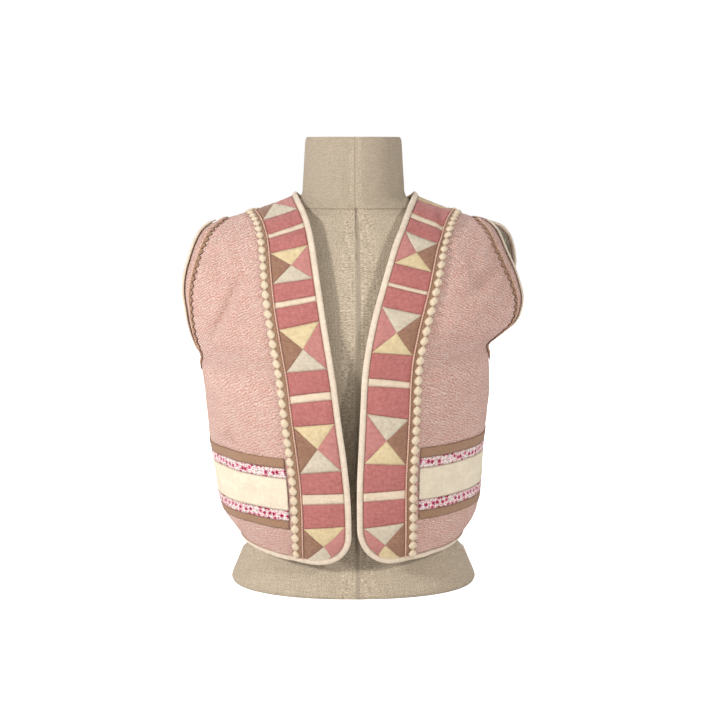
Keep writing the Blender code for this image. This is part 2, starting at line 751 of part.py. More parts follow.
def trim_loop(vest, frames, span, lift, closed=False):
    """Rows of points for a trim that lies a given span in from an edge."""
    rows = []
    for place, way, _ in frames:
        row = []
        for distance in span:
            end, normal = vest.march(place, -way, distance)
            row.append(end + normal * lift)
        rows.append(row)
    return settle(vest, rows, lift, closed)


def add_armhole_trims(vest, collection):
    for side in (-1, 1):
        edge = armhole_edge(vest, side)
        centre = sum(edge, Vector()) / len(edge)
        frames = face_out(loop_frames(vest, edge), centre)
        name = side_name(side)
        sections = binding_sections(frames, ARMHOLE_BINDING_WIDTH)
        add_loop(f"armhole_binding_{name}", sections, "cream_binding", collection)
        piping = trim_loop(vest, frames, ARMHOLE_PIPING, LAY_GAP, True)
        add_wall(f"armhole_piping_{name}", piping, TRIM_WALL, True, "light_piping", collection, True)
        rickrack = trim_loop(vest, frames, RICKRACK, LAY_GAP, True)
        add_wall(f"rickrack_{name}", rickrack, TRIM_WALL, True, "brown_tape", collection, True)


def add_back_neck_trims(vest, collection):
    """The band and its trims round the back neck, from shoulder seam to shoulder seam."""
    edge = back_neck_edge(vest, 2)
    frames = []
    for i, place in enumerate(edge):
        low, high = max(i - 1, 0), min(i + 1, len(edge) - 1)
        run = (edge[high] - edge[low]).normalized()
        normal = vest.soft_normal(place)
        way = run.cross(normal).normalized()
        if way.dot(place - Vector((AXIS_X, AXIS_Y, place.z))) > 0:
            way = -way
        frames.append((place, way, normal))
    first = EDGE_BINDING_WIDTH + SEAM_GAP
    band = [0.0, (BAND_OUTER - first) / 3, (BAND_OUTER - first) * 2 / 3, BAND_OUTER - first]
    trims = (
        ("patchwork_band_back", band, NECK_LAY_GAP, "patchwork"),
        ("band_piping_back", (PIPING_INNER - first, PIPING_OUTER - first), NECK_LAY_GAP, "light_piping"),
        ("brown_tape_back", (TAPE_INNER - first, TAPE_OUTER - first), NECK_LAY_GAP, "brown_tape"),
        ("diamond_braid_back", (BRAID_INNER - first, BRAID_OUTER - first),
         NECK_LAY_GAP * 2 + TRIM_WALL, "cream_braid"),
    )
    for name, span, lift, material in trims:
        rows = trim_loop(vest, frames, span, lift)
        add_wall(name, rows, TRIM_WALL, True, material, collection)


def add_form(vest, collection):
    """The limbless form: a sphere's rings moved to the ring table, with a flat base and top."""
    bm = bmesh.new()
    rings = len(FORM_RINGS) + 1
    bmesh.ops.create_uvsphere(bm, u_segments=FORM_SEGMENTS, v_segments=rings, radius=1.0)
    for vert in bm.verts:
        level = round(math.acos(max(min(-vert.co.z, 1.0), -1.0)) / math.pi * rings)
        angle = math.atan2(vert.co.y, vert.co.x)
        vert.co = under_cloth(vest, form_point(level, angle))
    return add_object("dress_form", bm, "form_linen", collection)


def under_cloth(vest, place):
    """Moves a place on the form inward where it would touch the cloth, outside the neckline."""
    needed = CLOTH_WALL + REST_GAP
    below = -vest.height_over(place)
    in_neckline = abs(place.x - AXIS_X) < NECK_X[-1]
    if below >= needed or place.z < HEM or in_neckline:
        return place
    return place - vest.normal_near(place) * (needed - below)


def form_point(level, angle):
    """A place on the form. Level 0 and the last level are the middles of the base and top."""
    ring = FORM_RINGS[min(max(level - 1, 0), len(FORM_RINGS) - 1)]
    if level in (0, len(FORM_RINGS) + 1):
        return Vector((AXIS_X, AXIS_Y, ring.height))
    across, along_y = math.cos(angle), math.sin(angle)
    depth = ring.back if along_y > 0 else ring.front
    power = 2 / ring.round
    x = ring.half_width * math.copysign(abs(across) ** power, across)
    y = depth * math.copysign(abs(along_y) ** power, along_y)
    return Vector((AXIS_X + x, AXIS_Y + y, ring.height))


def main():
    for piece in list(bpy.data.objects):
        bpy.data.objects.remove(piece, do_unlink=True)
    collection = bpy.data.collections.new("patchwork_vest")
    bpy.context.scene.collection.children.link(collection)
    vest = Vest()
    add_form(vest, collection)
    add_panels(vest, collection)
    add_front_trims(vest, collection)
    add_back_neck_trims(vest, collection)
    add_hem_strips(vest, collection)
    add_edge_binding(vest, collection)
    add_armhole_trims(vest, collection)


main()
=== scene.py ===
# %% [markdown]
# # An open patchwork vest on a limbless dress form
# The vest is sewn from a back and two fronts of pink crinkled cotton. A band of patches runs up each
# front edge and round the neck, with piping, tape and braid beside it, and five strips cross the hem.
# Every cloth piece here lies on one smooth surface, drawn through tables of measured sections. A piece is
# a grid that is moved onto that surface and given a thickness, as cloth is laid on a form and pinned.

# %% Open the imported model
import math

import bmesh
import bpy
import numpy as np
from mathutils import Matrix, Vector
from mathutils.bvhtree import BVHTree


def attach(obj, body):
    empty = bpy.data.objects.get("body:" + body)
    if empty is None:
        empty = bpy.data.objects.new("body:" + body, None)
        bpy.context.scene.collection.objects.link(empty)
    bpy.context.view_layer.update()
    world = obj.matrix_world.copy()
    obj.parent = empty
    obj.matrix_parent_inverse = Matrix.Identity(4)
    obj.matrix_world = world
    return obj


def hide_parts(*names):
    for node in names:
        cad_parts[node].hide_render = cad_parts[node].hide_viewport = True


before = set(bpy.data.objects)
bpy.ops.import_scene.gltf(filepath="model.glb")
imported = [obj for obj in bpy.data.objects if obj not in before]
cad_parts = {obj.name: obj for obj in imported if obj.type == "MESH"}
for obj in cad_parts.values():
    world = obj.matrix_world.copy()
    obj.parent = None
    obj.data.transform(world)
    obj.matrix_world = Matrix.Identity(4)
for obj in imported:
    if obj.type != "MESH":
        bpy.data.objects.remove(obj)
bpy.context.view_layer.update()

# %% [markdown]
# ## The measured sections
# A section is a nearly level line round the vest. Each row gives its height at the open edge, how far it
# rises to the side, how much more it swings up late on the way, how deep it is in front and behind, and how
# square it is. The side rows give the half widths at the side seam and, above the underarm, where the
# armhole's front and back edges are.

# %% Section tables, in metres
AXIS_X = 0.0003
AXIS_Y = 0.01086
SECTIONS = np.array((
    # height, rise, swing, front, back, roundness
    (0.0360, 0.0145, 0.0080, 0.1150, 0.1015, 2.30),
    (0.0600, 0.0125, 0.0060, 0.1215, 0.1070, 2.30),
    (0.0800, 0.0090, 0.0055, 0.1250, 0.1090, 2.30),
    (0.1050, 0.0060, 0.0055, 0.1280, 0.1100, 2.30),
    (0.1350, 0.0050, 0.0058, 0.1310, 0.1115, 2.30),
    (0.1710, 0.0045, 0.0060, 0.1340, 0.1130, 2.30),
    (0.2100, 0.0075, 0.0040, 0.1370, 0.1150, 2.30),
    (0.2350, 0.0135, 0.0015, 0.1380, 0.1160, 2.30),
    (0.2500, 0.0205, 0.0000, 0.1380, 0.1165, 2.30),
    (0.2680, 0.0130, 0.0000, 0.1380, 0.1170, 2.30),
    (0.2850, 0.0065, 0.0000, 0.1375, 0.1175, 2.30),
    (0.3050, 0.0030, 0.0000, 0.1360, 0.1180, 2.30),
    (0.3300, 0.0000, 0.0000, 0.1310, 0.1180, 2.30),
    (0.3550, -0.0030, 0.0000, 0.1240, 0.1170, 2.25),
    (0.3800, -0.0065, 0.0000, 0.1130, 0.1140, 2.20),
    (0.4050, -0.0120, 0.0000, 0.0970, 0.1070, 2.15),
    (0.4235, -0.0165, 0.0000, 0.0800, 0.0990, 2.10),
    (0.4400, -0.0220, 0.0000, 0.0580, 0.0900, 2.10),
    (0.4530, -0.0275, 0.0000, 0.0320, 0.0800, 2.05),
    (0.4615, -0.0330, 0.0000, 0.0040, 0.0690, 2.00),
))
SIDES = np.array((
    # left front, right front, front y, left back, right back, back y
    (0.1320, 0.127, 0.000, 0.132, 0.127, 0.000),
    (0.1450, 0.144, 0.000, 0.145, 0.144, 0.000),
    (0.1550, 0.150, 0.000, 0.155, 0.150, 0.000),
    (0.1610, 0.152, 0.000, 0.161, 0.152, 0.000),
    (0.1650, 0.153, 0.000, 0.165, 0.153, 0.000),
    (0.1710, 0.157, 0.000, 0.171, 0.157, 0.000),
    (0.1750, 0.161, 0.000, 0.175, 0.161, 0.000),
    (0.1780, 0.161, 0.000, 0.178, 0.161, 0.000),
    (0.1800, 0.160, 0.000, 0.180, 0.160, 0.000),
    (0.1800, 0.160, 0.023, 0.179, 0.160, 0.019),
    (0.1830, 0.169, 0.040, 0.180, 0.167, 0.035),
    (0.1880, 0.187, 0.048, 0.182, 0.178, 0.046),
    (0.1920, 0.194, 0.051, 0.184, 0.186, 0.052),
    (0.1950, 0.191, 0.050, 0.185, 0.191, 0.054),
    (0.1930, 0.184, 0.045, 0.183, 0.194, 0.052),
    (0.1880, 0.176, 0.037, 0.180, 0.191, 0.045),
    (0.1830, 0.171, 0.029, 0.177, 0.184, 0.036),
    (0.1770, 0.166, 0.020, 0.173, 0.174, 0.025),
    (0.1680, 0.160, 0.010, 0.167, 0.163, 0.012),
    (0.1600, 0.155, 0.000, 0.160, 0.155, 0.000),
))
OPENINGS = np.array((
    # height, the left and right open edges' distance from the middle
    (0.0360, 0.0020, 0.0040),
    (0.0900, 0.0020, 0.0038),
    (0.1250, 0.0030, 0.0036),
    (0.1690, 0.0073, 0.0055),
    (0.2100, 0.0129, 0.0073),
    (0.2540, 0.0186, 0.0096),
    (0.2900, 0.0240, 0.0145),
    (0.3300, 0.0306, 0.0235),
    (0.3690, 0.0369, 0.0345),
    (0.4000, 0.0420, 0.0435),
    (0.4235, 0.0470, 0.0530),
    (0.4400, 0.0530, 0.0592),
    (0.4615, 0.0650, 0.0688),
))
HEM = 0.0360
UNDERARM = 0.2500
SHOULDER = 0.4615
SIDE_DROP = 0.0060
NECK_X = {-1: 0.0722, 1: 0.0762}
NECK_BACK_Y = 0.0690
NECK_DIP = 0.0140
NECK_DROP = 0.0045
NECK_SHARE = 0.40
BACK_TURN = 0.4050
BACK_ROUNDING = 0.0130
LEVELS = SECTIONS[:, 0]
TURN_ROW = int(np.argmax(LEVELS >= BACK_TURN))
print("sections:", len(SECTIONS), "from", HEM, "to", SHOULDER)

# %% [markdown]
# ## Where the trims lie
# These are distances along the cloth from the open edge. The binding covers the edge itself, then come the
# patch band, a thin piping, a brown tape and a braid that laps over the tape.

# %% Widths of the trims, in metres
BINDING_WIDTH = 0.0070
SEAM_GAP = 0.0003
FIRST = BINDING_WIDTH + SEAM_GAP
BAND_OUTER = 0.0550
PIPING_MIDDLE = 0.0561
TAPE = (0.0570, 0.0640)
BRAID_OUTER = 0.0715
BRAID_MIDDLE = 0.0644
CORNER_RADIUS = 0.0440
CLOTH_WALL = 0.0018
STRIP_TOP = 0.1695
STRIP_HEIGHTS = (
    ("brown_ribbon_upper", 0.0118),
    ("flower_strip_upper", 0.0118),
    ("cream_strip", 0.0380),
    ("flower_strip_lower", 0.0128),
    ("brown_ribbon_lower", 0.0112),
)
SIDE_NAMES = {-1: "left", 1: "right"}

# %% [markdown]
# ## The main folds
# Cloth that hangs on a form shows a few soft troughs and ridges. Each is a line in front or back view with
# a width and a depth, all different, and a negative depth is a ridge. Long ones come first. The short ones
# at the hem and the underarm are where stitching draws the cloth together.

# %% Folds: start x and z, end x and z, half width, depth
FOLDS = {
    "front": (
        (-0.126, 0.374, -0.163, 0.299, 0.005, 0.0044),
        (-0.114, 0.364, -0.148, 0.288, 0.007, -0.0020),
        (-0.146, 0.205, -0.150, 0.120, 0.012, 0.0032),
        (-0.144, 0.190, -0.129, 0.170, 0.004, 0.0026),
        (-0.118, 0.160, -0.112, 0.054, 0.015, 0.0016),
        (-0.128, 0.260, -0.118, 0.196, 0.013, -0.0013),
        (-0.168, 0.246, -0.160, 0.196, 0.008, 0.0016),
        (-0.092, 0.424, -0.098, 0.372, 0.010, 0.0012),
        (-0.150, 0.400, -0.155, 0.356, 0.006, 0.0017),
        (0.101, 0.440, 0.103, 0.404, 0.005, 0.0030),
        (0.112, 0.436, 0.118, 0.390, 0.009, -0.0010),
        (0.132, 0.350, 0.166, 0.374, 0.010, 0.0030),
        (0.136, 0.398, 0.146, 0.352, 0.009, 0.0012),
        (0.128, 0.190, 0.122, 0.080, 0.015, 0.0018),
        (0.092, 0.300, 0.104, 0.210, 0.016, -0.0012),
        (0.147, 0.316, 0.141, 0.262, 0.006, 0.0014),
        (0.157, 0.306, 0.151, 0.254, 0.005, 0.0012),
        (0.134, 0.272, 0.138, 0.222, 0.009, 0.0011),
        (-0.020, 0.090, -0.016, 0.082, 0.007, 0.0014),
        (-0.034, 0.072, -0.030, 0.050, 0.005, 0.0012),
        (-0.069, 0.062, -0.067, 0.044, 0.004, 0.0018),
        (0.062, 0.058, 0.063, 0.042, 0.004, 0.0013),
        (-0.094, 0.070, -0.093, 0.048, 0.005, 0.0010),
        (-0.131, 0.078, -0.128, 0.058, 0.005, 0.0009),
        (0.092, 0.068, 0.091, 0.048, 0.005, 0.0011),
        (0.118, 0.084, 0.114, 0.062, 0.006, 0.0008),
    ),
    "back": (
        (-0.060, 0.215, -0.066, 0.054, 0.016, 0.0034),
        (0.048, 0.190, 0.056, 0.049, 0.015, 0.0028),
        (-0.150, 0.335, -0.095, 0.275, 0.014, 0.0026),
        (0.148, 0.345, 0.090, 0.300, 0.013, 0.0030),
        (-0.008, 0.240, 0.004, 0.110, 0.014, -0.0014),
        (-0.112, 0.205, -0.104, 0.090, 0.011, -0.0012),
        (0.104, 0.214, 0.110, 0.100, 0.012, 0.0014),
        (-0.148, 0.262, -0.134, 0.196, 0.009, 0.0016),
        (0.142, 0.268, 0.134, 0.206, 0.009, 0.0013),
        (-0.120, 0.386, -0.098, 0.330, 0.012, 0.0012),
        (0.124, 0.392, 0.112, 0.352, 0.010, 0.0011),
        (-0.086, 0.070, -0.084, 0.048, 0.005, 0.0011),
        (-0.022, 0.066, -0.020, 0.046, 0.005, 0.0010),
        (0.030, 0.072, 0.029, 0.048, 0.006, 0.0009),
        (0.088, 0.068, 0.085, 0.048, 0.005, 0.0012),
    ),
}


def fold_depth(face, x, z):
    """How far the folds press the cloth in, at places in front or back view."""
    total = np.zeros_like(x)
    for start_x, start_z, end_x, end_z, half_width, depth in FOLDS[face]:
        line_x, line_z = end_x - start_x, end_z - start_z
        squared = line_x ** 2 + line_z ** 2
        t = np.clip(((x - start_x) * line_x + (z - start_z) * line_z) / squared, 0, 1)
        away = np.hypot(x - start_x - t * line_x, z - start_z - t * line_z) / half_width
        ends = np.sin(np.pi * (0.12 + 0.76 * t))
        total += depth * ends * np.exp(-away ** 2)
    return total


print("folds:", sum(len(folds) for folds in FOLDS.values()))

# %% [markdown]
# ## From tables to a surface
# Each section is a plan curve between an ellipse and a rounded box. Between two sections every point moves
# on a smooth curve through the rows, so the surface has no corners. The fine ripple is a sum of a few slow
# waves with a fixed seed, higher on the bare cloth than under the trims.

# %% Curves of a section, and smooth steps between sections
ARC_SAMPLES = 240
RIPPLE_WAVES = 14
RIPPLE_DEPTH = 0.00022


def smooth_rows(rows, values, at):
    """Cubic interpolation through uneven steps, for arrays of points or numbers."""
    rows, at = np.asarray(rows), np.asarray(at)
    last = len(rows) - 1
    low = np.maximum(np.arange(last + 1) - 1, 0)
    high = np.minimum(np.arange(last + 1) + 1, last)
    shape = (-1,) + (1,) * (values.ndim - 1)
    slopes = (values[high] - values[low]) / (rows[high] - rows[low]).reshape(shape)
    index = np.clip(np.searchsorted(rows, at, side="right") - 1, 0, last - 1)
    step = (rows[index + 1] - rows[index]).reshape(shape)
    t = (at - rows[index]).reshape(shape) / step
    rise = values[index + 1] - values[index]
    bend = slopes[index] * t * (1 - t) ** 2 - slopes[index + 1] * t * t * (1 - t)
    return values[index] + rise * t * t * (3 - 2 * t) + bend * step


def plan_curve(half_width, depth, roundness, out_y, start_x):
    """x, y and running length along a section, from start_x out to its end."""
    share = (abs(out_y) / depth) ** (roundness / 2) if out_y else 0.0
    end_angle = math.acos(min(share, 1.0))
    full = half_width / math.sin(end_angle) ** (2 / roundness)
    start_angle = math.asin(min((start_x / full) ** (roundness / 2), 1.0))
    angle = np.linspace(start_angle, end_angle, ARC_SAMPLES + 1)
    x = full * np.sin(angle) ** (2 / roundness)
    y = depth * np.maximum(np.cos(angle), 0.0) ** (2 / roundness)
    run = np.concatenate(([0.0], np.cumsum(np.hypot(np.diff(x), np.diff(y)))))
    return x, y, run


def side_drop(height):
    """How much the left side hangs lower than the right one, each way from the middle."""
    risen = np.clip((height - HEM) / 0.05, 0, 1)
    fallen = np.clip((SHOULDER - height) / 0.14, 0, 1)
    return SIDE_DROP * risen * fallen


def ripple(u, v, seed):
    """A slow uneven ripple, from about -1 to 1, over two measures in metres."""
    draw = np.random.default_rng(seed)
    total = np.zeros(np.broadcast(u, v).shape)
    for _ in range(RIPPLE_WAVES):
        across, up = draw.normal(0, 420), draw.normal(0, 190)
        total = total + np.sin(across * u + up * v + draw.uniform(0, 2 * np.pi))
    return total / math.sqrt(RIPPLE_WAVES)


def smooth_step(x, low, high):
    t = np.clip((x - low) / (high - low), 0, 1)
    return t * t * (3 - 2 * t)


def normals_of(places):
    """Unit normals of a grid of points, turned away from the body's axis."""
    across = np.gradient(places, axis=1)
    up = np.gradient(places, axis=0)
    normal = np.cross(across, up)
    normal /= np.maximum(np.linalg.norm(normal, axis=2, keepdims=True), 1e-12)
    middle = tuple(n // 2 for n in places.shape[:2])
    out = places[middle] - np.array((AXIS_X, AXIS_Y, places[middle][2] - 0.02))
    return normal if normal[middle] @ out > 0 else -normal


class Laid:
    """Places and normals over two measures, looked up between their own rows and columns."""

    def __init__(self, across, along, places, warp=None):
        self.across, self.along, self.places, self.warp = across, along, places, warp
        self.normals = normals_of(places)

    def at(self, a, b, lift=0.0, with_normal=False):
        a, b, lift = np.broadcast_arrays(np.asarray(a, float), np.asarray(b, float), lift)
        if self.warp:
            a, b = self.warp(a, b)
        column = np.interp(a, self.across, np.arange(len(self.across)))
        row = np.interp(b, self.along, np.arange(len(self.along)))
        c = np.minimum(column.astype(int), len(self.across) - 2)
        r = np.minimum(row.astype(int), len(self.along) - 2)
        s, t = (column - c)[..., None], (row - r)[..., None]
        found = []
        for grid in (self.places, self.normals):
            low = grid[r, c] * (1 - s) + grid[r, c + 1] * s
            high = grid[r + 1, c] * (1 - s) + grid[r + 1, c + 1] * s
            found.append(low * (1 - t) + high * t)
        place, normal = found
        normal = normal / np.linalg.norm(normal, axis=-1, keepdims=True)
        place = place + normal * lift[..., None]
        return (place, normal) if with_normal else place


print("waves in the ripple:", RIPPLE_WAVES)

# %% [markdown]
# ## The two fronts and the back as surfaces
# A front's column is metres from the open edge as far as the braid, then a share of the rest, so the trims
# keep their width all the way up. The back runs from side to side and turns over to the neckline.

# %% Lay out the fronts and the back
FINE = 0.0015
EDGE_US = np.arange(0.0, BRAID_OUTER, FINE)
REST_US = np.linspace(BRAID_OUTER, 1.0, 112)
FRONT_US = np.concatenate((EDGE_US, REST_US))
BACK_US = np.linspace(0.0, 1.0, 260)
ROWS = np.linspace(HEM, SHOULDER, 282)


def rounded_corner(u, height):
    """Turns the lower front corner into an arc."""
    radius = CORNER_RADIUS - FIRST
    a = 1 - (u - FIRST) / radius
    b = 1 - (height - HEM - FIRST) / radius
    inside = (a > 0) & (b > 0)
    arc_a = a * np.sqrt(np.maximum(1 - b * b / 2, 0))
    arc_b = b * np.sqrt(np.maximum(1 - a * a / 2, 0))
    new_u = np.where(inside, FIRST + radius * (1 - arc_a), u)
    return new_u, np.where(inside, HEM + FIRST + radius * (1 - arc_b), height)


def front_rows(side):
    """The sections of a front, each as points over FRONT_US."""
    rows = []
    column = 0 if side < 0 else 1
    for (height, rise, swing, front, _, roundness), edge in zip(SECTIONS, SIDES):
        start = float(smooth_rows(OPENINGS[:, 0], OPENINGS[:, 1 + column], [height])[0])
        x, y, run = plan_curve(edge[column], front, roundness, edge[2], start)
        share = np.clip((FRONT_US - BRAID_OUTER) / (1 - BRAID_OUTER), 0, 1)
        distance = np.minimum(FRONT_US, BRAID_OUTER) + share * (run[-1] - BRAID_OUTER)
        level = height + side * side_drop(height)
        share_out = distance / run[-1]
        z = level + rise * share_out ** 0.75 + swing * share_out ** 1.5
        flat_x, flat_y = np.interp(distance, run, x), np.interp(distance, run, y)
        rows.append(np.stack((AXIS_X + side * flat_x, AXIS_Y - flat_y, z), axis=1))
    return np.array(rows)


def level_points(row, side, share):
    """A nearly level section of the back, on one half."""
    height, rise, swing, _, depth, roundness = SECTIONS[row]
    half_width = SIDES[row][3 if side < 0 else 4]
    x, y, run = plan_curve(half_width, depth, roundness, SIDES[row][5], 0.0)
    middle = height + max(rise, 0.0) + swing
    end = height + rise + swing + side * side_drop(height)
    z = middle + (end - middle) * share ** 1.5
    return np.stack((np.interp(share * run[-1], run, x), np.interp(share * run[-1], run, y), z), axis=1)


def top_points(side, share):
    """The back's top section: the back neck, then the shoulder seam."""
    tip = SIDES[-1][3 if side < 0 else 4]
    neck_z = SHOULDER - NECK_DROP
    angle = np.pi / 2 * np.clip(share / NECK_SHARE, 0, 1)
    t = np.clip((share - NECK_SHARE) / (1 - NECK_SHARE), 0, 1)
    x = np.where(share < NECK_SHARE, NECK_X[side] * np.sin(angle), NECK_X[side] + (tip - NECK_X[side]) * t)
    y = np.where(share < NECK_SHARE, NECK_BACK_Y * np.cos(angle), 0.0)
    fall = (SECTIONS[-1][1] + NECK_DROP) * t ** 0.85
    z = np.where(share < NECK_SHARE, neck_z - NECK_DIP * np.cos(angle) ** 2, neck_z + fall)
    return np.stack((x, y, z), axis=1)


def back_rows():
    """The sections of the back, each as points over BACK_US."""
    rows = []
    for row, height in enumerate(LEVELS):
        halves = []
        for side in (-1, 1):
            share = np.abs(2 * BACK_US[(BACK_US < 0.5) if side < 0 else (BACK_US >= 0.5)] - 1)
            turned = (height - BACK_TURN) / (SHOULDER - BACK_TURN)
            if turned <= 0:
                place = level_points(row, side, share)
            else:
                start = level_points(TURN_ROW, side, share)
                place = start + (top_points(side, share) - start) * turned
                rounding = BACK_ROUNDING * math.sin(math.pi * turned) * (1 - 0.5 * share)
                column = 3 if side < 0 else 4
                straight = SIDES[TURN_ROW][column] * (1 - turned) + SIDES[-1][column] * turned
                place[:, 0] += (SIDES[row][column] - straight) * share ** 6
                place[:, 1] += rounding
                place[:, 2] += rounding
            place = place * np.array((side, 1, 1)) + np.array((AXIS_X, AXIS_Y, 0.0))
            halves.append(place)
        rows.append(np.concatenate(halves))
    return np.array(rows)


def lay_out(face, columns, rows, warp=None, seed=1):
    """Raises the sections to a fine surface, presses in the folds and adds the slow ripple."""
    places = smooth_rows(LEVELS, rows, ROWS)
    plain = Laid(columns, ROWS, places)
    depth = fold_depth(face, places[:, :, 0] - AXIS_X, places[:, :, 2])
    run = np.cumsum(np.linalg.norm(np.diff(places, axis=1, prepend=places[:, :1]), axis=2), axis=1)
    bare = smooth_step(run, 0.070, 0.084) if face == "front" else 1.0
    calm = smooth_step(places[:, :, 2], 0.160, 0.185) * bare
    depth = depth - RIPPLE_DEPTH * (0.35 + 0.65 * calm) * ripple(run, places[:, :, 2], seed)
    return Laid(columns, ROWS, places - plain.normals * depth[..., None], warp)


fronts = {side: lay_out("front", FRONT_US, front_rows(side), rounded_corner, 5 + side) for side in (-1, 1)}
back = lay_out("back", BACK_US, back_rows(), None, 9)
for label, sheet in (("left", fronts[-1]), ("right", fronts[1]), ("back", back)):
    print(label, "surface of", sheet.places.shape[:2], "points")

# %% [markdown]
# ## Grids that become cloth
# A cutting is one mesh made of grids. Each grid starts as Blender's own flat grid and its corners are moved
# onto the surface. The UV map holds metres on the cloth, so a weave keeps its size, and the attribute called
# seam holds painted shade: how much the shaders darken a point near a sewn edge, in a crease, or where
# trims meet and lap.

# %% The cutting table
WELD = 1e-6


class Cutting:
    """Collects moved grids and makes one piece of them."""

    def __init__(self):
        self.bm = bmesh.new()
        self.uvs, self.seams, self.slots = [], [], []

    def add(self, places, uvs, seam=None, slot=0, facing=None):
        """One grid, whose seam values are painted shade. Where facing is given, its faces are turned to look
        the way of its middle vector.
        """
        if facing is not None:
            middle = tuple(n // 2 for n in places.shape[:2])
            across = places[middle] - places[middle[0], middle[1] - 1]
            up = places[middle] - places[middle[0] - 1, middle[1]]
            if np.cross(across, up) @ facing[tuple(n // 2 for n in facing.shape[:-1])] < 0:
                places, uvs = places[:, ::-1], uvs[:, ::-1]
                seam = None if seam is None else seam[:, ::-1]
        rows, columns = places.shape[:2]
        made = bmesh.ops.create_grid(self.bm, x_segments=columns - 1, y_segments=rows - 1, size=1.0)["verts"]
        flat = np.array([vert.co[:2] for vert in made])
        c = np.rint((flat[:, 0] + 1) / 2 * (columns - 1)).astype(int)
        r = np.rint((flat[:, 1] + 1) / 2 * (rows - 1)).astype(int)
        for vert, place in zip(made, places[r, c]):
            vert.co = place
        self.uvs.append(uvs[r, c])
        self.seams.append(np.zeros(len(made)) if seam is None else seam[r, c])
        self.slots.extend([slot] * ((rows - 1) * (columns - 1)))
        return self

    def finish(self, name, materials, welded=False):
        """Writes the mesh. A welded one has its meeting ends joined into a loop."""
        mesh = bpy.data.meshes.new(name)
        self.bm.to_mesh(mesh)
        self.bm.free()
        corner = np.empty(len(mesh.loops), dtype=int)
        mesh.loops.foreach_get("vertex_index", corner)
        layer = mesh.uv_layers.new(name="cloth")
        layer.data.foreach_set("uv", np.concatenate(self.uvs)[corner].astype(np.float32).ravel())
        seam = mesh.attributes.new("seam", "FLOAT", "POINT")
        seam.data.foreach_set("value", np.concatenate(self.seams).astype(np.float32))
        mesh.polygons.foreach_set("material_index", self.slots)
        if welded:
            bm = bmesh.new()
            bm.from_mesh(mesh)
            bmesh.ops.remove_doubles(bm, verts=bm.verts, dist=WELD)
            bm.to_mesh(mesh)
            bm.free()
        mesh.shade_smooth()
        for material in materials:
            mesh.materials.append(material)
        piece = bpy.data.objects.new(name, mesh)
        bpy.context.scene.collection.objects.link(piece)
        return piece

    def sew(self, name, materials, wall, slot, node, welded=False, inner_material=0):
        """Finishes the mesh, gives it a wall and says what it stands for."""
        piece = thicken(self.finish(name, materials, welded), wall, inner_material)
        return place_piece(piece, slot, node)


def uv_grid(across, along):
    """Two measures as a grid of pairs."""
    return np.stack(np.broadcast_arrays(across, along), axis=2)


def thicken(piece, wall, inner_material=0):
    """Gives a sheet its wall on the inner side."""
    solidify = piece.modifiers.new("wall", "SOLIDIFY")
    solidify.thickness = wall
    solidify.offset = -1.0
    solidify.material_offset = inner_material
    return piece


def place_piece(piece, slot, *nodes):
    """The piece rides on the body and stands for its nodes. The slot is not used."""
    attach(piece, "root")
    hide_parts(*nodes)
    print(piece.name, "faces", len(piece.data.polygons), "for", ", ".join(nodes))
    return piece


def mesh_area(piece):
    return sum(face.area for face in piece.data.polygons)


# %% [markdown]
# ## Colours and weaves
# Cotton looks right when the colour varies a little from thread to thread and the surface has a fine
# relief. Two node groups do that for every cloth: one draws a plain weave on the UV map, the other a soft
# mottle. Each material then sets its own colours, thread count and relief.

# %% Helpers for shader nodes
def linear(red, green, blue):
    """A screen colour, 0 to 255, as the linear colour that a shader wants."""
    tones = []
    for value in (red / 255, green / 255, blue / 255):
        tones.append(value / 12.92 if value <= 0.04045 else ((value + 0.055) / 1.055) ** 2.4)
    return (*tones, 1.0)


def add_node(tree, kind, values=(), **settings):
    """A node with its settings, and its unlinked sockets by name or number."""
    node = tree.nodes.new(kind)
    for key, value in settings.items():
        setattr(node, key, value)
    for key, value in dict(values).items():
        node.inputs[key].default_value = value
    return node


def math_node(tree, operation, first, second=None, third=None, clamp=False):
    """A Math node fed by sockets or numbers; gives its output socket."""
    node = add_node(tree, "ShaderNodeMath", operation=operation, use_clamp=clamp)
    for index, value in enumerate((first, second, third)):
        if value is None:
            continue
        if isinstance(value, (int, float)):
            node.inputs[index].default_value = value
        else:
            tree.links.new(value, node.inputs[index])
    return node.outputs[0]


def mix_colours(tree, factor, first, second, blend="MIX"):
    """A colour Mix node fed by sockets or values; gives its output socket."""
    node = add_node(tree, "ShaderNodeMix", data_type="RGBA", blend_type=blend)
    for key, value in ((0, factor), (6, first), (7, second)):
        if isinstance(value, (int, float, tuple)):
            node.inputs[key].default_value = value
        else:
            tree.links.new(value, node.inputs[key])
    return node.outputs[2]


def cloth_coordinates(tree, scale=(1.0, 1.0, 1.0), turn=0.0):
    """The cloth's own UV map, in metres, stretched and turned."""
    source = add_node(tree, "ShaderNodeUVMap", uv_map="cloth")
    mapping = add_node(tree, "ShaderNodeMapping", {"Scale": scale, "Rotation": (0.0, 0.0, turn)})
    tree.links.new(source.outputs[0], mapping.inputs["Vector"])
    return mapping.outputs[0]


def new_group(name, inputs, outputs):
    """An empty node group with named sockets."""
    group = bpy.data.node_groups.new(name, "ShaderNodeTree")
    for kind, label, value in inputs:
        socket = group.interface.new_socket(label, in_out="INPUT", socket_type=kind)
        if value is not None:
            socket.default_value = value
    for kind, label in outputs:
        group.interface.new_socket(label, in_out="OUTPUT", socket_type=kind)
    return group, group.nodes.new("NodeGroupInput"), group.nodes.new("NodeGroupOutput")


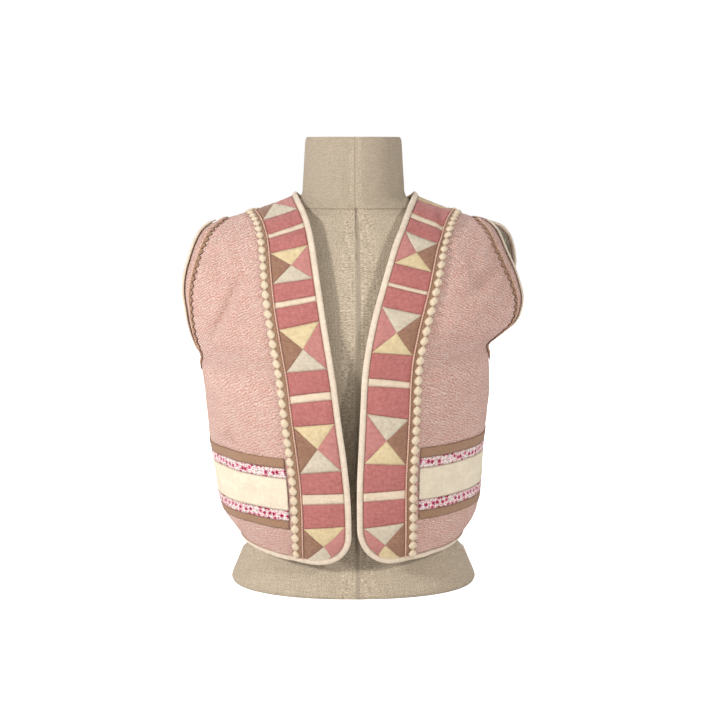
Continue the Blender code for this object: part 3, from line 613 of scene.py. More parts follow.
# %% Node group: a plain weave
def make_weave():
    group, given, result = new_group(
        "plain weave",
        (("NodeSocketVector", "Vector", None), ("NodeSocketFloat", "Threads", 900.0)),
        (("NodeSocketFloat", "Relief"), ("NodeSocketFloat", "Tone")),
    )
    parts = group.nodes.new("ShaderNodeSeparateXYZ")
    group.links.new(given.outputs["Vector"], parts.inputs[0])
    waves = []
    for axis in (0, 1):
        turns = math_node(group, "MULTIPLY", parts.outputs[axis], given.outputs["Threads"])
        turns = math_node(group, "MULTIPLY", turns, math.pi)
        waves.append(math_node(group, "ABSOLUTE", math_node(group, "SINE", turns)))
    over = math_node(group, "MAXIMUM", waves[0], waves[1])
    under = math_node(group, "MINIMUM", waves[0], waves[1])
    relief = math_node(group, "MULTIPLY_ADD", under, 0.5, math_node(group, "MULTIPLY", over, 0.5))
    slub = add_node(group, "ShaderNodeTexNoise", {"Scale": 1.0, "Detail": 1.0}, noise_dimensions="2D")
    stretch = add_node(group, "ShaderNodeMapping", {"Scale": (55.0, 640.0, 1.0)})
    group.links.new(given.outputs["Vector"], stretch.inputs["Vector"])
    group.links.new(stretch.outputs[0], slub.inputs["Vector"])
    group.links.new(relief, result.inputs["Relief"])
    group.links.new(slub.outputs[0], result.inputs["Tone"])
    return group


def make_mottle():
    group, given, result = new_group(
        "soft mottle",
        (("NodeSocketVector", "Vector", None), ("NodeSocketFloat", "Scale", 300.0),
         ("NodeSocketFloat", "Contrast", 2.0)),
        (("NodeSocketFloat", "Mottle"),),
    )
    noise = add_node(group, "ShaderNodeTexNoise", {"Detail": 3.0, "Roughness": 0.6}, noise_dimensions="2D")
    group.links.new(given.outputs["Vector"], noise.inputs["Vector"])
    group.links.new(given.outputs["Scale"], noise.inputs["Scale"])
    centred = math_node(group, "SUBTRACT", noise.outputs[0], 0.5)
    strong = math_node(group, "MULTIPLY", centred, given.outputs["Contrast"])
    group.links.new(math_node(group, "ADD", strong, 0.5, clamp=True), result.inputs["Mottle"])
    return group


WEAVE = make_weave()
MOTTLE = make_mottle()


def use_group(tree, group, vector, **values):
    node = add_node(tree, "ShaderNodeGroup", node_tree=group)
    tree.links.new(vector, node.inputs["Vector"])
    for key, value in values.items():
        node.inputs[key].default_value = value
    return node


def mottled(tree, vector, scale, contrast):
    return use_group(tree, MOTTLE, vector, Scale=scale, Contrast=contrast).outputs[0]


def wave_bands(tree, vector, bands, values):
    """Bands across the cloth's length, so many to a metre, with the Wave node's other values."""
    wave = add_node(
        tree, "ShaderNodeTexWave", {"Scale": bands / 20.0 * 2 * math.pi, **values},
        wave_type="BANDS", bands_direction="Y",
    )
    tree.links.new(vector, wave.inputs["Vector"])
    return wave.outputs["Fac"]


print("node groups:", WEAVE.name, "and", MOTTLE.name)

# %% [markdown]
# ## One recipe for the plain cottons
# The patches, strips, bindings and the wrong side of the cloth are all plain cotton. The recipe takes a
# light and a dark tone, how strongly they mix, the thread count and the relief. A sewn edge is darker,
# because shade is painted into the colour there, as a fold in the cloth would hold it.

# %% The cotton recipe
def start_material(name, roughness, sheen=0.15):
    material = bpy.data.materials.new(name)
    material.use_nodes = True
    shader = material.node_tree.nodes["Principled BSDF"]
    shader.inputs["Roughness"].default_value = roughness
    shader.inputs["Specular IOR Level"].default_value = 0.22
    shader.inputs["Sheen Weight"].default_value = sheen
    shader.inputs["Sheen Roughness"].default_value = 0.6
    return material, material.node_tree, shader


def finish_material(tree, shader, colour, height, distance, strength=1.0):
    """Links the colour and a relief, whose distance is in metres."""
    bump = add_node(tree, "ShaderNodeBump", {"Strength": strength, "Distance": distance})
    tree.links.new(height, bump.inputs["Height"])
    tree.links.new(bump.outputs[0], shader.inputs["Normal"])
    tree.links.new(colour, shader.inputs["Base Color"])


def seam_shade(tree, colour, shade=(0.60, 0.50, 0.46, 1.0)):
    """Darkens the colour by the seam attribute: painted shade on the cloth near seams, in creases and where
    trims meet, and the seam lines of the form.
    """
    edge = add_node(tree, "ShaderNodeAttribute", attribute_name="seam")
    return mix_colours(tree, edge.outputs["Fac"], colour, mix_colours(tree, 1.0, colour, shade, "MULTIPLY"))


def cotton(name, light, dark, threads=1100.0, grain=260.0, contrast=1.7, relief=0.00022, roughness=0.86):
    material, tree, shader = start_material(name, roughness)
    vector = cloth_coordinates(tree)
    weave = use_group(tree, WEAVE, vector, Threads=threads)
    mottle = mottled(tree, vector, grain, contrast)
    # A slow cloud varies the tone at random, and it also raises soft wrinkles in the relief and paints shade
    # into their hollows.
    cloud = mottled(tree, vector, 75.0, 2.6)
    colour = mix_colours(tree, mottle, linear(*dark), linear(*light))
    clouded = mix_colours(tree, cloud, (0.86, 0.83, 0.82, 1.0), (1.0, 1.0, 1.0, 1.0))
    colour = mix_colours(tree, 0.7, colour, clouded, "MULTIPLY")
    threaded = mix_colours(tree, 0.16, colour, weave.outputs["Tone"], "SOFT_LIGHT")
    height = math_node(tree, "MULTIPLY_ADD", mottle, 0.8, weave.outputs["Relief"])
    height = math_node(tree, "MULTIPLY_ADD", cloud, 2.6, height)
    finish_material(tree, shader, seam_shade(tree, threaded), height, relief)
    return material


ROSE = cotton("rose cotton", (204, 132, 128), (180, 105, 101))
DUSTY_PINK = cotton("dusty pink cotton", (212, 149, 143), (193, 126, 122))
BROWN_PATCH = cotton("brown cotton", (172, 132, 108), (148, 109, 89))
CREAM_BAR = cotton("cream cotton", (246, 231, 207), (232, 211, 185))
PALE_YELLOW = cotton("pale yellow cotton", (238, 220, 179), (222, 200, 155))
OFF_WHITE = cotton("off white cotton", (229, 219, 199), (208, 194, 173))
PATCH_MATERIALS = (ROSE, DUSTY_PINK, BROWN_PATCH, CREAM_BAR, PALE_YELLOW, OFF_WHITE)
ROSE_SLOT, DUSTY_SLOT, BROWN_SLOT, CREAM_SLOT, YELLOW_SLOT, WHITE_SLOT = range(6)
STRIP_CREAM = cotton("wide strip cotton", (252, 241, 219), (240, 226, 200), contrast=1.2)
BINDING_COTTON = cotton("binding cotton", (249, 236, 217), (235, 216, 194), threads=1500.0, relief=0.00018)
WRONG_SIDE = cotton("wrong side cotton", (240, 240, 226), (222, 222, 206), grain=180.0)
print("plain cottons:", len(PATCH_MATERIALS) + 3)

# %% [markdown]
# ## The pink crinkled cotton
# This cloth is woven with tight and slack threads, so it puckers into fine slanting crinkles. A strongly
# bent wave pattern gives the crinkles and two mottles the grain. They drive the colour and the relief
# together, so that the pattern and the bumps agree: the crinkles' tops get painted light and their valleys
# painted shade, darker and redder.

# %% Pink crinkled cotton
RIDGES_A_METRE = 360.0


def pink_crinkle():
    material, tree, shader = start_material("pink crinkled cotton", 0.9, 0.2)
    vector = cloth_coordinates(tree)
    bent = {"Distortion": 7.5, "Detail": 2.0, "Detail Scale": 0.9, "Detail Roughness": 0.6}
    ridges = wave_bands(tree, cloth_coordinates(tree, turn=0.4), RIDGES_A_METRE, bent)
    crinkle, grain = mottled(tree, vector, 430.0, 4.5), mottled(tree, vector, 900.0, 4.5)
    cloud = mottled(tree, vector, 60.0, 2.0)
    rough = math_node(tree, "MULTIPLY_ADD", grain, 0.6, crinkle)
    height = math_node(tree, "MULTIPLY_ADD", ridges, 1.1, rough)
    # The colour follows the height: the random grain is the cloth's own, while the crinkles' tops get
    # painted light and their valleys painted shade.
    tone = math_node(tree, "MULTIPLY", height, 0.37)
    colour = mix_colours(tree, tone, linear(210, 137, 124), linear(255, 238, 228))
    clouded = mix_colours(tree, cloud, linear(247, 232, 226), linear(255, 255, 252))
    colour = mix_colours(tree, 0.8, colour, clouded, "MULTIPLY")
    finish_material(tree, shader, seam_shade(tree, colour), height, 0.0005)
    return material


PINK = pink_crinkle()
print("made", PINK.name)

# %% [markdown]
# ## The tapes, the braid and the piping
# A grosgrain tape has fine ribs across it. The braid and the piping are twisted thread, so their relief
# runs slantwise. All three are wave patterns on the UV map, with a little noise so that no rib is alike.
# The colour follows the relief: the ribs get painted light and the grooves between them painted shade.

# %% Ribbed and twisted threads
def ribbed(name, light, dark, ribs, slant=0.0):
    material, tree, shader = start_material(name, 0.78)
    vector = cloth_coordinates(tree, turn=slant)
    wave = wave_bands(tree, vector, ribs, {"Distortion": 0.6, "Detail": 1.0, "Detail Scale": 2.0})
    mottle = mottled(tree, vector, 420.0, 2.0)
    height = math_node(tree, "MULTIPLY_ADD", mottle, 0.5, wave)
    # The colour follows the height: painted light on the ribs, painted shade between them.
    tone = math_node(tree, "MULTIPLY", height, 0.66)
    colour = mix_colours(tree, tone, linear(*dark), linear(*light))
    finish_material(tree, shader, seam_shade(tree, colour), height, 0.0003)
    return material


BROWN_TAPE = ribbed("brown ribbed tape", (198, 158, 128), (140, 104, 80), 900.0)
BRAID_THREAD = ribbed("cream braid thread", (255, 243, 220), (226, 198, 163), 900.0, 0.6)
PIPING_THREAD = ribbed("stitched piping thread", (250, 218, 196), (190, 132, 114), 420.0, 0.7)
print("threads: tape, braid, piping")

# %% [markdown]
# ## The flowered cotton
# A small scattered flower print is drawn with cells: each cell of a Voronoi pattern holds one flower or one
# leaf about its own centre. Five petals come from a cosine of the angle, and the cell's random colour picks
# a strong or a pale pink. It is an ordinary print, made from numbers alone.

# %% Flowered cotton
def flower_mask(tree, vector, scale, size, petals, depth):
    """Where the flowers of one cell pattern are, their hearts, and the cell's random colour."""
    cells = add_node(
        tree, "ShaderNodeTexVoronoi", {"Scale": scale, "Randomness": 0.72}, voronoi_dimensions="2D"
    )
    tree.links.new(vector, cells.inputs["Vector"])
    from_centre = add_node(tree, "ShaderNodeVectorMath", operation="SUBTRACT")
    tree.links.new(vector, from_centre.inputs[0])
    tree.links.new(cells.outputs["Position"], from_centre.inputs[1])
    parts = add_node(tree, "ShaderNodeSeparateXYZ")
    tree.links.new(from_centre.outputs[0], parts.inputs[0])
    angle = math_node(tree, "ARCTAN2", parts.outputs[1], parts.outputs[0])
    wave = math_node(tree, "COSINE", math_node(tree, "MULTIPLY", angle, petals))
    reach = math_node(tree, "MULTIPLY_ADD", wave, depth, size)
    flower = math_node(tree, "LESS_THAN", cells.outputs["Distance"], reach)
    heart = math_node(tree, "LESS_THAN", cells.outputs["Distance"], size * 0.42)
    random = add_node(tree, "ShaderNodeSeparateColor")
    tree.links.new(cells.outputs["Color"], random.inputs[0])
    return flower, heart, random.outputs[0], random.outputs[1]


def flowered():
    material, tree, shader = start_material("flowered cotton", 0.84)
    vector = cloth_coordinates(tree)
    mottle = mottled(tree, vector, 300.0, 1.5)
    weave = use_group(tree, WEAVE, vector, Threads=1200.0)
    colour = mix_colours(tree, mottle, linear(238, 214, 212), linear(255, 243, 240))
    leaf_vector = cloth_coordinates(tree, (1.0, 2.1, 1.0), 0.7)
    leaf, _, leaf_pick, leaf_tone = flower_mask(tree, leaf_vector, 330.0, 0.32, 2.0, 0.07)
    leaf = math_node(tree, "MULTIPLY", leaf, math_node(tree, "LESS_THAN", leaf_pick, 0.6))
    leaves = mix_colours(tree, leaf_tone, linear(128, 132, 108), linear(170, 150, 168))
    colour = mix_colours(tree, leaf, colour, leaves)
    small, _, small_pick, small_tone = flower_mask(tree, vector, 320.0, 0.30, 4.0, 0.05)
    small = math_node(tree, "MULTIPLY", small, math_node(tree, "LESS_THAN", small_pick, 0.5))
    petals = mix_colours(tree, small_tone, linear(206, 96, 134), linear(240, 168, 170))
    colour = mix_colours(tree, small, colour, petals)
    large, heart, pick, tone = flower_mask(tree, vector, 140.0, 0.31, 5.0, 0.08)
    large = math_node(tree, "MULTIPLY", large, math_node(tree, "LESS_THAN", pick, 0.8))
    heart = math_node(tree, "MULTIPLY", heart, large)
    strong = math_node(tree, "GREATER_THAN", tone, 0.55)
    petals = mix_colours(tree, strong, linear(186, 34, 92), linear(220, 104, 140))
    colour = mix_colours(tree, large, colour, petals)
    colour = mix_colours(tree, heart, colour, linear(128, 24, 60))
    finish_material(tree, shader, seam_shade(tree, colour), weave.outputs["Relief"], 0.0002)
    return material


FLOWERED = flowered()
print("made", FLOWERED.name)

# %% [markdown]
# ## The linen of the dress form
# The form's cover is a coarse linen: a plain weave with thick and thin threads both ways, a little
# uneven in colour. Horizontal and upright slubs are two stretched noises.

# %% Linen cover
def linen():
    material, tree, shader = start_material("linen cover", 0.92, 0.1)
    vector = cloth_coordinates(tree)
    weave = use_group(tree, WEAVE, vector, Threads=980.0)
    cross = use_group(tree, WEAVE, cloth_coordinates(tree, turn=math.pi / 2), Threads=980.0)
    cloud = mottled(tree, vector, 900.0, 2.6)
    threads = math_node(tree, "ADD", weave.outputs["Tone"], cross.outputs["Tone"])
    threads = math_node(tree, "MULTIPLY", threads, 0.5)
    both = math_node(tree, "MULTIPLY_ADD", cloud, 1.3, threads)
    tone = math_node(tree, "MULTIPLY_ADD", both, 0.95, -0.62, clamp=True)
    colour = mix_colours(tree, tone, linear(176, 158, 135), linear(231, 216, 194))
    height = math_node(tree, "MULTIPLY_ADD", both, 0.8, weave.outputs["Relief"])
    finish_material(tree, shader, seam_shade(tree, colour, (0.62, 0.55, 0.50, 1.0)), height, 0.0004)
    return material


LINEN = linen()
print("made", LINEN.name)

# %% [markdown]
# ## The three cloth panels
# The back and the fronts are the garment itself. Each is a fine grid on its surface, with a wall on the
# inner side, whose inner face is the paler wrong side that shows inside the right armhole. Their edges run
# on under the bindings, as they do in the sewing. A deep crease has shade painted into its colour, so it is
# a little darker than the cloth round it, and the cloth near a seam has painted shade too.

# %% Cut the panels
PANEL_UNDER = 0.0035
PANEL_CELL = 0.0022
PANEL_WALL = CLOTH_WALL - 0.0002
SEAM_REACH = 0.0030
SEAM_PRESS = 0.0007
SEAM_SHADE = 0.6
CREASE_FULL = 0.0050
CREASE_SHADE = 0.42


def metres_across(sheet, us, heights):
    """Running length along each row of places, for the UV map."""
    places = sheet.at(us[None, :], heights[:, None])
    steps = np.linalg.norm(np.diff(places, axis=1, prepend=places[:, :1]), axis=2)
    return np.cumsum(steps, axis=1)


def steps_between(low, high, cell):
    """Even steps of about one cell from low to high."""
    return np.linspace(low, high, max(int(round((high - low) / cell)), 2) + 1)


def panel_piece(name, sheet, us, heights, ends, node):
    """One panel. The ends are the column ends that are seams, which the seam attribute marks with painted
    shade, as it marks the deep creases.
    """
    run = metres_across(sheet, us, heights)
    seam = np.zeros(run.shape)
    for end in ends:
        away = run if end == 0 else run[:, -1:] - run
        seam = np.maximum(seam, np.exp(-(away / SEAM_REACH) ** 2))
    places, normals = sheet.at(us[None, :], heights[:, None], with_normal=True)
    places = places - normals * (seam * SEAM_PRESS)[..., None]
    face = "back" if node == "back" else "front"
    pressed = fold_depth(face, places[..., 0] - AXIS_X, places[..., 2])
    # Painted shade: the colour is darkened in deep creases and near the seams.
    crease = np.clip(pressed / CREASE_FULL, 0, 1) ** 1.5 * CREASE_SHADE
    shade = np.maximum(seam * SEAM_SHADE, crease)
    cutting = Cutting().add(places, uv_grid(run, heights[:, None]), shade, facing=normals)
    return cutting.sew(name, (PINK, WRONG_SIDE), PANEL_WALL, "pink_crinkle", node, inner_material=1)


PANEL_ROWS = steps_between(HEM + PANEL_UNDER, SHOULDER, PANEL_CELL)
front_us = np.concatenate((
    steps_between(PANEL_UNDER, BRAID_OUTER, PANEL_CELL),
    np.linspace(BRAID_OUTER, 1.0, 76)[1:],
))
back_us = np.linspace(0.0, 1.0, 176)
panels = {}
for side, sheet in fronts.items():
    label = SIDE_NAMES[side]
    panels[side] = panel_piece(f"front_cloth_{label}", sheet, front_us, PANEL_ROWS, (1,), f"front_{label}")
panels[0] = panel_piece("back_cloth", back, back_us, PANEL_ROWS, (0, 1), "back")
sewn_on = {key: [] for key in panels}

# %% [markdown]
# ## The patch band
# Every patch is a separate piece of cotton that puffs up a little between its seams, where the stitching
# pulls it down. The tables give the seams' heights at the inner and the outer edge, so each seam slants as
# the real one does. An hourglass is four triangles that meet in the middle.

# %% Seam heights and the order of the patches
TOP = SHOULDER - 0.0004
BOTTOM = HEM + FIRST - 0.0030
BAND_SEAMS = {
    # (inner, outer) heights from the shoulder down
    -1: ((0.4472, 0.4429), (0.4317, 0.4244), (0.4267, 0.4200), (0.4081, 0.4025), (0.3728, 0.3676),
         (0.3546, 0.3471), (0.3489, 0.3407), (0.3277, 0.3171), (0.2741, 0.2655), (0.2483, 0.2385),
         (0.2397, 0.2310), (0.2131, 0.2064), (0.1594, 0.1531), (0.1327, 0.1287), (0.1214, 0.1167),
         (0.0937, 0.0870)),
    1: ((0.4572, 0.4602), (0.4413, 0.4338), (0.4356, 0.4279), (0.4198, 0.4091), (0.3827, 0.3732),
        (0.3605, 0.3500), (0.3566, 0.3457), (0.3329, 0.3223), (0.2811, 0.2739), (0.2514, 0.2417),
        (0.2427, 0.2359), (0.2124, 0.2029), (0.1553, 0.1510), (0.1210, 0.1216), (0.1110, 0.1114),
        (0.0801, 0.0821)),
}
PATCH_ORDER = ("rose", "cream", "rose", "hourglass") * 4
HOURGLASS = {
    # top, outer, inner and bottom triangle
    -1: (YELLOW_SLOT, BROWN_SLOT, DUSTY_SLOT, WHITE_SLOT),
    1: (WHITE_SLOT, BROWN_SLOT, DUSTY_SLOT, YELLOW_SLOT),
}
BAND_TOP_SHARE = {-1: 0.90, 1: 0.84}
PATCH_LOW = 0.0006
PATCH_PUFF = 0.0009
PATCH_SOFT = 0.0030
PATCH_SEAM = 0.0008
PATCH_PUCKER = 0.00014
PATCH_WALL = 0.0005
PATCH_CELL = 0.0022
TIP = 0.004


def band_share(side, height):
    """The band is narrower where it climbs over the shoulder."""
    return 1 - (1 - BAND_TOP_SHARE[side]) * smooth_step(height, 0.33, SHOULDER)


def on_band(side, u, height, lift=0.0, with_normal=False):
    """A place on a front's trims, u metres in from the open edge."""
    u = FIRST + (u - FIRST) * band_share(side, height)
    return fronts[side].at(u, height, lift, with_normal)


def patch_grid(corners, width, height, tip=1.0):
    """Band measures over a patch, and the distance to its nearest seam. A tip below 1 gives a triangle."""
    across = steps_between(0.0, 1.0, PATCH_CELL / max(width, 2 * PATCH_CELL))
    up = steps_between(0.0, 1.0, PATCH_CELL / max(height, 2 * PATCH_CELL))
    s, t = np.meshgrid(across, up)
    (low_in, low_out), (high_in, high_out) = np.array(corners, float).reshape(2, 2, 2)
    low = low_in + (low_out - low_in) * s[..., None]
    middle = (high_in + high_out) / 2
    narrow_in = middle + (high_in - middle) * tip
    narrow_out = middle + (high_out - middle) * tip
    high = narrow_in + (narrow_out - narrow_in) * s[..., None]
    measure = low * (1 - t[..., None]) + high * t[..., None]
    sides = np.minimum(s, 1 - s) * width * (1 - t * (1 - tip))
    ends = t * height if tip < 1 else np.minimum(t, 1 - t) * height
    return measure, np.minimum(sides, ends)


def add_patch(cutting, place_at, measure, distance, slot, seed):
    """One puffed patch. Small puckers run in from its seams."""
    soft = np.exp(-distance / PATCH_SOFT)
    pucker = ripple(measure[..., 0] * 1.6, measure[..., 1] * 3.0, seed)
    lift = PATCH_LOW + PATCH_PUFF * (1 - soft) + PATCH_PUCKER * soft * (1 - soft) * 4 * pucker
    places, normals = place_at(measure[..., 0], measure[..., 1], lift)
    shade = np.exp(-(distance / PATCH_SEAM) ** 2) * 0.3
    cutting.add(places, measure, shade, slot, normals)


def add_triangles(cutting, place_at, tip, sides, seed):
    """Triangles from the given sides to one shared tip."""
    for index, (start, end, slot, base, reach) in enumerate(sides):
        corners = (start, end, tip + (start - end) * 0.5, tip + (end - start) * 0.5)
        measure, distance = patch_grid(corners, base, reach, TIP)
        add_patch(cutting, place_at, measure, distance * 0.8, slot, seed + index)


def add_block(cutting, place_at, kind, corners, size, tints, seed):
    """A rose or cream rectangle, or the four triangles of an hourglass."""
    width, height = size
    low_in, low_out, high_in, high_out = [np.array(corner, float) for corner in corners]
    if kind != "hourglass":
        slot = ROSE_SLOT if kind == "rose" else CREAM_SLOT
        measure, distance = patch_grid((low_in, low_out, high_in, high_out), width, height)
        add_patch(cutting, place_at, measure, distance, slot, seed)
        return
    centre = (low_in + low_out + high_in + high_out) / 4
    sides = (
        (high_out, high_in, tints[0], width, height / 2),
        (low_out, high_out, tints[1], height, width / 2),
        (high_in, low_in, tints[2], height, width / 2),
        (low_in, low_out, tints[3], width, height / 2),
    )
    add_triangles(cutting, place_at, centre, sides, seed)


def front_band(side):
    """The band of one front, from the shoulder seam down to the hem."""
    cutting = Cutting()
    seams = [*BAND_SEAMS[side], (BOTTOM - 0.006, BOTTOM - 0.002)]

    def place_at(u, height, lift):
        return on_band(side, u, height, lift, True)

    for index, kind in enumerate(PATCH_ORDER):
        (high_in, high_out), (low_in, low_out) = seams[index], seams[index + 1]
        corners = ((FIRST, low_in), (BAND_OUTER, low_out), (FIRST, high_in), (BAND_OUTER, high_out))
        size = (BAND_OUTER - FIRST, (high_in + high_out - low_in - low_out) / 2)
        add_block(cutting, place_at, kind, corners, size, HOURGLASS[side], 20 * index)
    return cutting, place_at


print("patches on a front:", len(PATCH_ORDER))

# %% Sew the two front bands
HALF_SIZE = (0.047, 0.027)
SLIVER_SIZE = (0.047, 0.005)


def add_half(cutting, place_at, corners, size, tints, seed):
    """Half an hourglass: its base triangle and the halves of its two side triangles."""
    width, height = size
    low_in, low_out, high_in, high_out = [np.array(corner, float) for corner in corners]
    apex = (high_in + high_out) / 2
    sides = ((low_in, low_out, tints[0], width, height), (high_in, low_in, tints[1], height, width / 2),
             (low_out, high_out, tints[2], height, width / 2))
    add_triangles(cutting, place_at, apex, sides, seed)


for side in (-1, 1):
    cutting, place_at = front_band(side)
    low_in, low_out = BAND_SEAMS[side][0]
    corners = ((FIRST, low_in), (BAND_OUTER, low_out), (FIRST, TOP), (BAND_OUTER, TOP))
    if side < 0:
        add_half(cutting, place_at, corners, HALF_SIZE, (WHITE_SLOT, DUSTY_SLOT, BROWN_SLOT), 400)
    else:
        measure, distance = patch_grid(corners, *SLIVER_SIZE)
        add_patch(cutting, place_at, measure, distance, YELLOW_SLOT, 400)
    label = SIDE_NAMES[side]
    piece = cutting.sew(f"band_patches_{label}", PATCH_MATERIALS, PATCH_WALL, "patchwork",
                        f"patchwork_band_{label}")
    print("band area", round(mesh_area(piece), 4))

# %% [markdown]
# ## Walking over the cloth
# The trims of the back neck and the armholes follow curved edges. To lay them a set distance in from the
# edge, a point walks over the cloth in short steps: each step goes straight on and drops back to the
# nearest place of the surface.

# %% A search surface and a walk on it
WALK_STEPS = 4
WALK_CELLS = 2


def every_few(count):
    """Every second row or column, and the last."""
    return np.unique(np.append(np.arange(0, count, WALK_CELLS), count - 1))


def search_surface():
    """A coarse copy of the three surfaces, to find nearest places on."""
    cutting = Cutting()
    for sheet in (*fronts.values(), back):
        places = sheet.places[np.ix_(every_few(len(sheet.along)), every_few(len(sheet.across)))]
        cutting.add(places, np.zeros((*places.shape[:2], 2)))
    cutting.bm.normal_update()
    tree = BVHTree.FromBMesh(cutting.bm)
    cutting.bm.free()
    return tree


SURFACE = search_surface()


def nearest(place):
    """The nearest place of the cloth and the normal there, turned outward."""
    found, normal, _, _ = SURFACE.find_nearest(place)
    out = found - Vector((AXIS_X, AXIS_Y, found.z - 0.05))
    return found, (normal if normal.dot(out) > 0 else -normal)


def walk(place, direction, distances):
    """The places at rising distances from an edge, walked in the direction given."""
    places, walked = [], 0.0
    place, normal = nearest(Vector(place))
    direction = Vector(direction)
    for distance in distances:
        step = (distance - walked) / WALK_STEPS
        for _ in range(WALK_STEPS if step else 0):
            direction = (direction - normal * direction.dot(normal)).normalized()
            place, normal = nearest(place + direction * step)
        walked = distance
        places.append(place.copy())
    return np.array(places)


def even_line(points, cell, closed=False):
    """A polyline cut again into even steps, and its length."""
    line = np.concatenate((points, points[:1])) if closed else points
    run = np.concatenate(([0.0], np.cumsum(np.linalg.norm(np.diff(line, axis=0), axis=1))))
    count = int(round(run[-1] / cell))
    at = np.linspace(0.0, run[-1], count + 1)
    line = np.stack([np.interp(at, run, line[:, axis]) for axis in range(3)], axis=1)
    return (line[:-1] if closed else line), at, run[-1]


def soften(line, rounds, closed):
    """Each point moves to the mean of itself and its neighbours, a few times over."""
    for _ in range(rounds):
        if closed:
            line = (np.roll(line, 1, 0) + 2 * line + np.roll(line, -1, 0)) / 4
        else:
            inner = (line[:-2] + 2 * line[1:-1] + line[2:]) / 4
            line = np.concatenate((line[:1], inner, line[-1:]))
    return line


print("the search surface is ready")

# %% [markdown]
# ## The band round the back neck
# The photograph doesn't show it, so it carries on the order of the front patches: what is left of the
# shoulder blocks, then rose, cream and rose on each side of one hourglass at the centre back.

# %% Lay out the back neck
NECK_CELL = 0.0030
NECK_REACH = BRAID_OUTER - FIRST + 0.0012


def lay_out_neck():
    """The surface round the back neck, over metres from the band's inner edge and along the neckline."""
    us = np.linspace(0.5 - NECK_SHARE / 2, 0.5 + NECK_SHARE / 2, 240)
    edge, along, length = even_line(back.at(us, SHOULDER), NECK_CELL)
    tangents = np.gradient(edge, axis=0)
    distances = np.linspace(0.0, NECK_REACH, 26)
    rows = []
    for place, run in zip(edge, tangents):
        normal = np.array(nearest(Vector(place))[1])
        way = np.cross(run, normal)
        if way @ (place - np.array((AXIS_X, AXIS_Y, place[2]))) < 0:
            way = -way
        rows.append(walk(place, way, distances))
    rows = np.array(rows)
    for column in range(rows.shape[1]):
        rows[:, column] = soften(rows[:, column], 3, False)
    return Laid(distances, along, rows), length


neck, NECK_LENGTH = lay_out_neck()
print("back neck length", round(NECK_LENGTH, 4))


def on_neck(u, s, lift=0.0, with_normal=False):
    """A place on the back neck's trims, u metres from the open edge."""
    left = 1 - (1 - BAND_TOP_SHARE[-1]) * (1 - smooth_step(s, 0.0, 0.06))
    right = 1 - (1 - BAND_TOP_SHARE[1]) * (1 - smooth_step(NECK_LENGTH - s, 0.0, 0.06))
    return neck.at((u - FIRST) * left * right, s, lift, with_normal)


# %% Sew the back neck band
NECK_PATCHES = (
    ("half", 27.0), ("rose", 24.0), ("cream", 10.0), ("rose", 24.0), ("hourglass", 50.0),
    ("rose", 23.0), ("cream", 10.0), ("rose", 23.0), ("hourglass", 44.0),
)
cutting = Cutting()
scale = NECK_LENGTH / sum(length for _, length in NECK_PATCHES)
start = 0.0


def neck_place(u, s, lift):
    return on_neck(u, s, lift, True)


for index, (kind, length) in enumerate(NECK_PATCHES):
    end = start + length * scale
    corners = ((FIRST, start), (BAND_OUTER, start), (FIRST, end), (BAND_OUTER, end))
    size = (BAND_OUTER - FIRST, (end - start) * 1.2)
    if kind == "half":
        flipped = (corners[2], corners[3], corners[0], corners[1])
        add_half(cutting, neck_place, flipped, size, (YELLOW_SLOT, DUSTY_SLOT, BROWN_SLOT), 500)
    else:
        add_block(cutting, neck_place, kind, corners, size, HOURGLASS[-1], 520 + 10 * index)
    start = end
piece = cutting.sew("band_patches_back", PATCH_MATERIALS, PATCH_WALL, "patchwork", "patchwork_band_back")
print("back neck band area", round(mesh_area(piece), 4))

# %% [markdown]
# ## Piping, tape and braid beside the band
# The piping is a thin cord under a cover that is caught down with slanting stitches, so its tube swells
# and narrows. The tape is flat and ribbed. The braid is a chain of padded diamonds: each one is a small
# grid turned on its corner and raised in the middle.

# %% Helpers for trims along an edge
PIPING_RADIUS = 0.00085
PIPING_PITCH = 0.0026
PIPING_SIDES = 8
PIPING_WRAP = 2.75
PIPING_WALL = 0.0003
PIPING_LIFT = 0.0011
TAPE_LIFT = 0.0010
TAPE_CROWN = 0.0003
TAPE_WALL = 0.0006
TRIM_CELL = 0.0024
BRAID_PITCH = 0.0112
DIAMOND_HALF_WIDTH = 0.0052
DIAMOND_RISE = 0.0024
DIAMOND_ROUND = 1.4
DIAMOND_CELLS = 6
DIAMOND_LIFT = 0.0019
CORE_HALF_WIDTH = 0.0010
CORE_LIFT = 0.0018
BRAID_WALL = 0.0005


def run_of(place_at, a, bs):
    """The running length over a trim's line."""
    places = place_at(np.full_like(bs, a), bs, 0.0)[0]
    return np.concatenate(([0.0], np.cumsum(np.linalg.norm(np.diff(places, axis=0), axis=1))))


def piping_tube(places, normals, run, radius, closed, pitch=PIPING_PITCH):
    """Rings of a stitched piping along a line of places."""
    if closed:
        tangents = np.roll(places, -1, 0) - np.roll(places, 1, 0)
    else:
        tangents = np.gradient(places, axis=0)
    aside = np.cross(tangents, normals)
    aside /= np.linalg.norm(aside, axis=1, keepdims=True)
    angle = np.pi / 2 + np.linspace(-1, 1, PIPING_SIDES + 1) * PIPING_WRAP
    swell = radius * (1 + 0.16 * np.sin(2 * np.pi * run[:, None] / pitch + angle[None, :]))
    rings = places[:, None] + aside[:, None] * (swell * np.cos(angle))[..., None]
    rings = rings + normals[:, None] * (swell * np.sin(angle))[..., None]
    uvs = uv_grid(angle[None, :] * radius, run[:, None])
    if closed:
        rings = np.concatenate((rings, rings[:1]))
        last = uvs[:1] + np.array((0.0, run[-1] + (run[-1] - run[-2])))
        uvs = np.concatenate((uvs, last))
    return rings, uvs


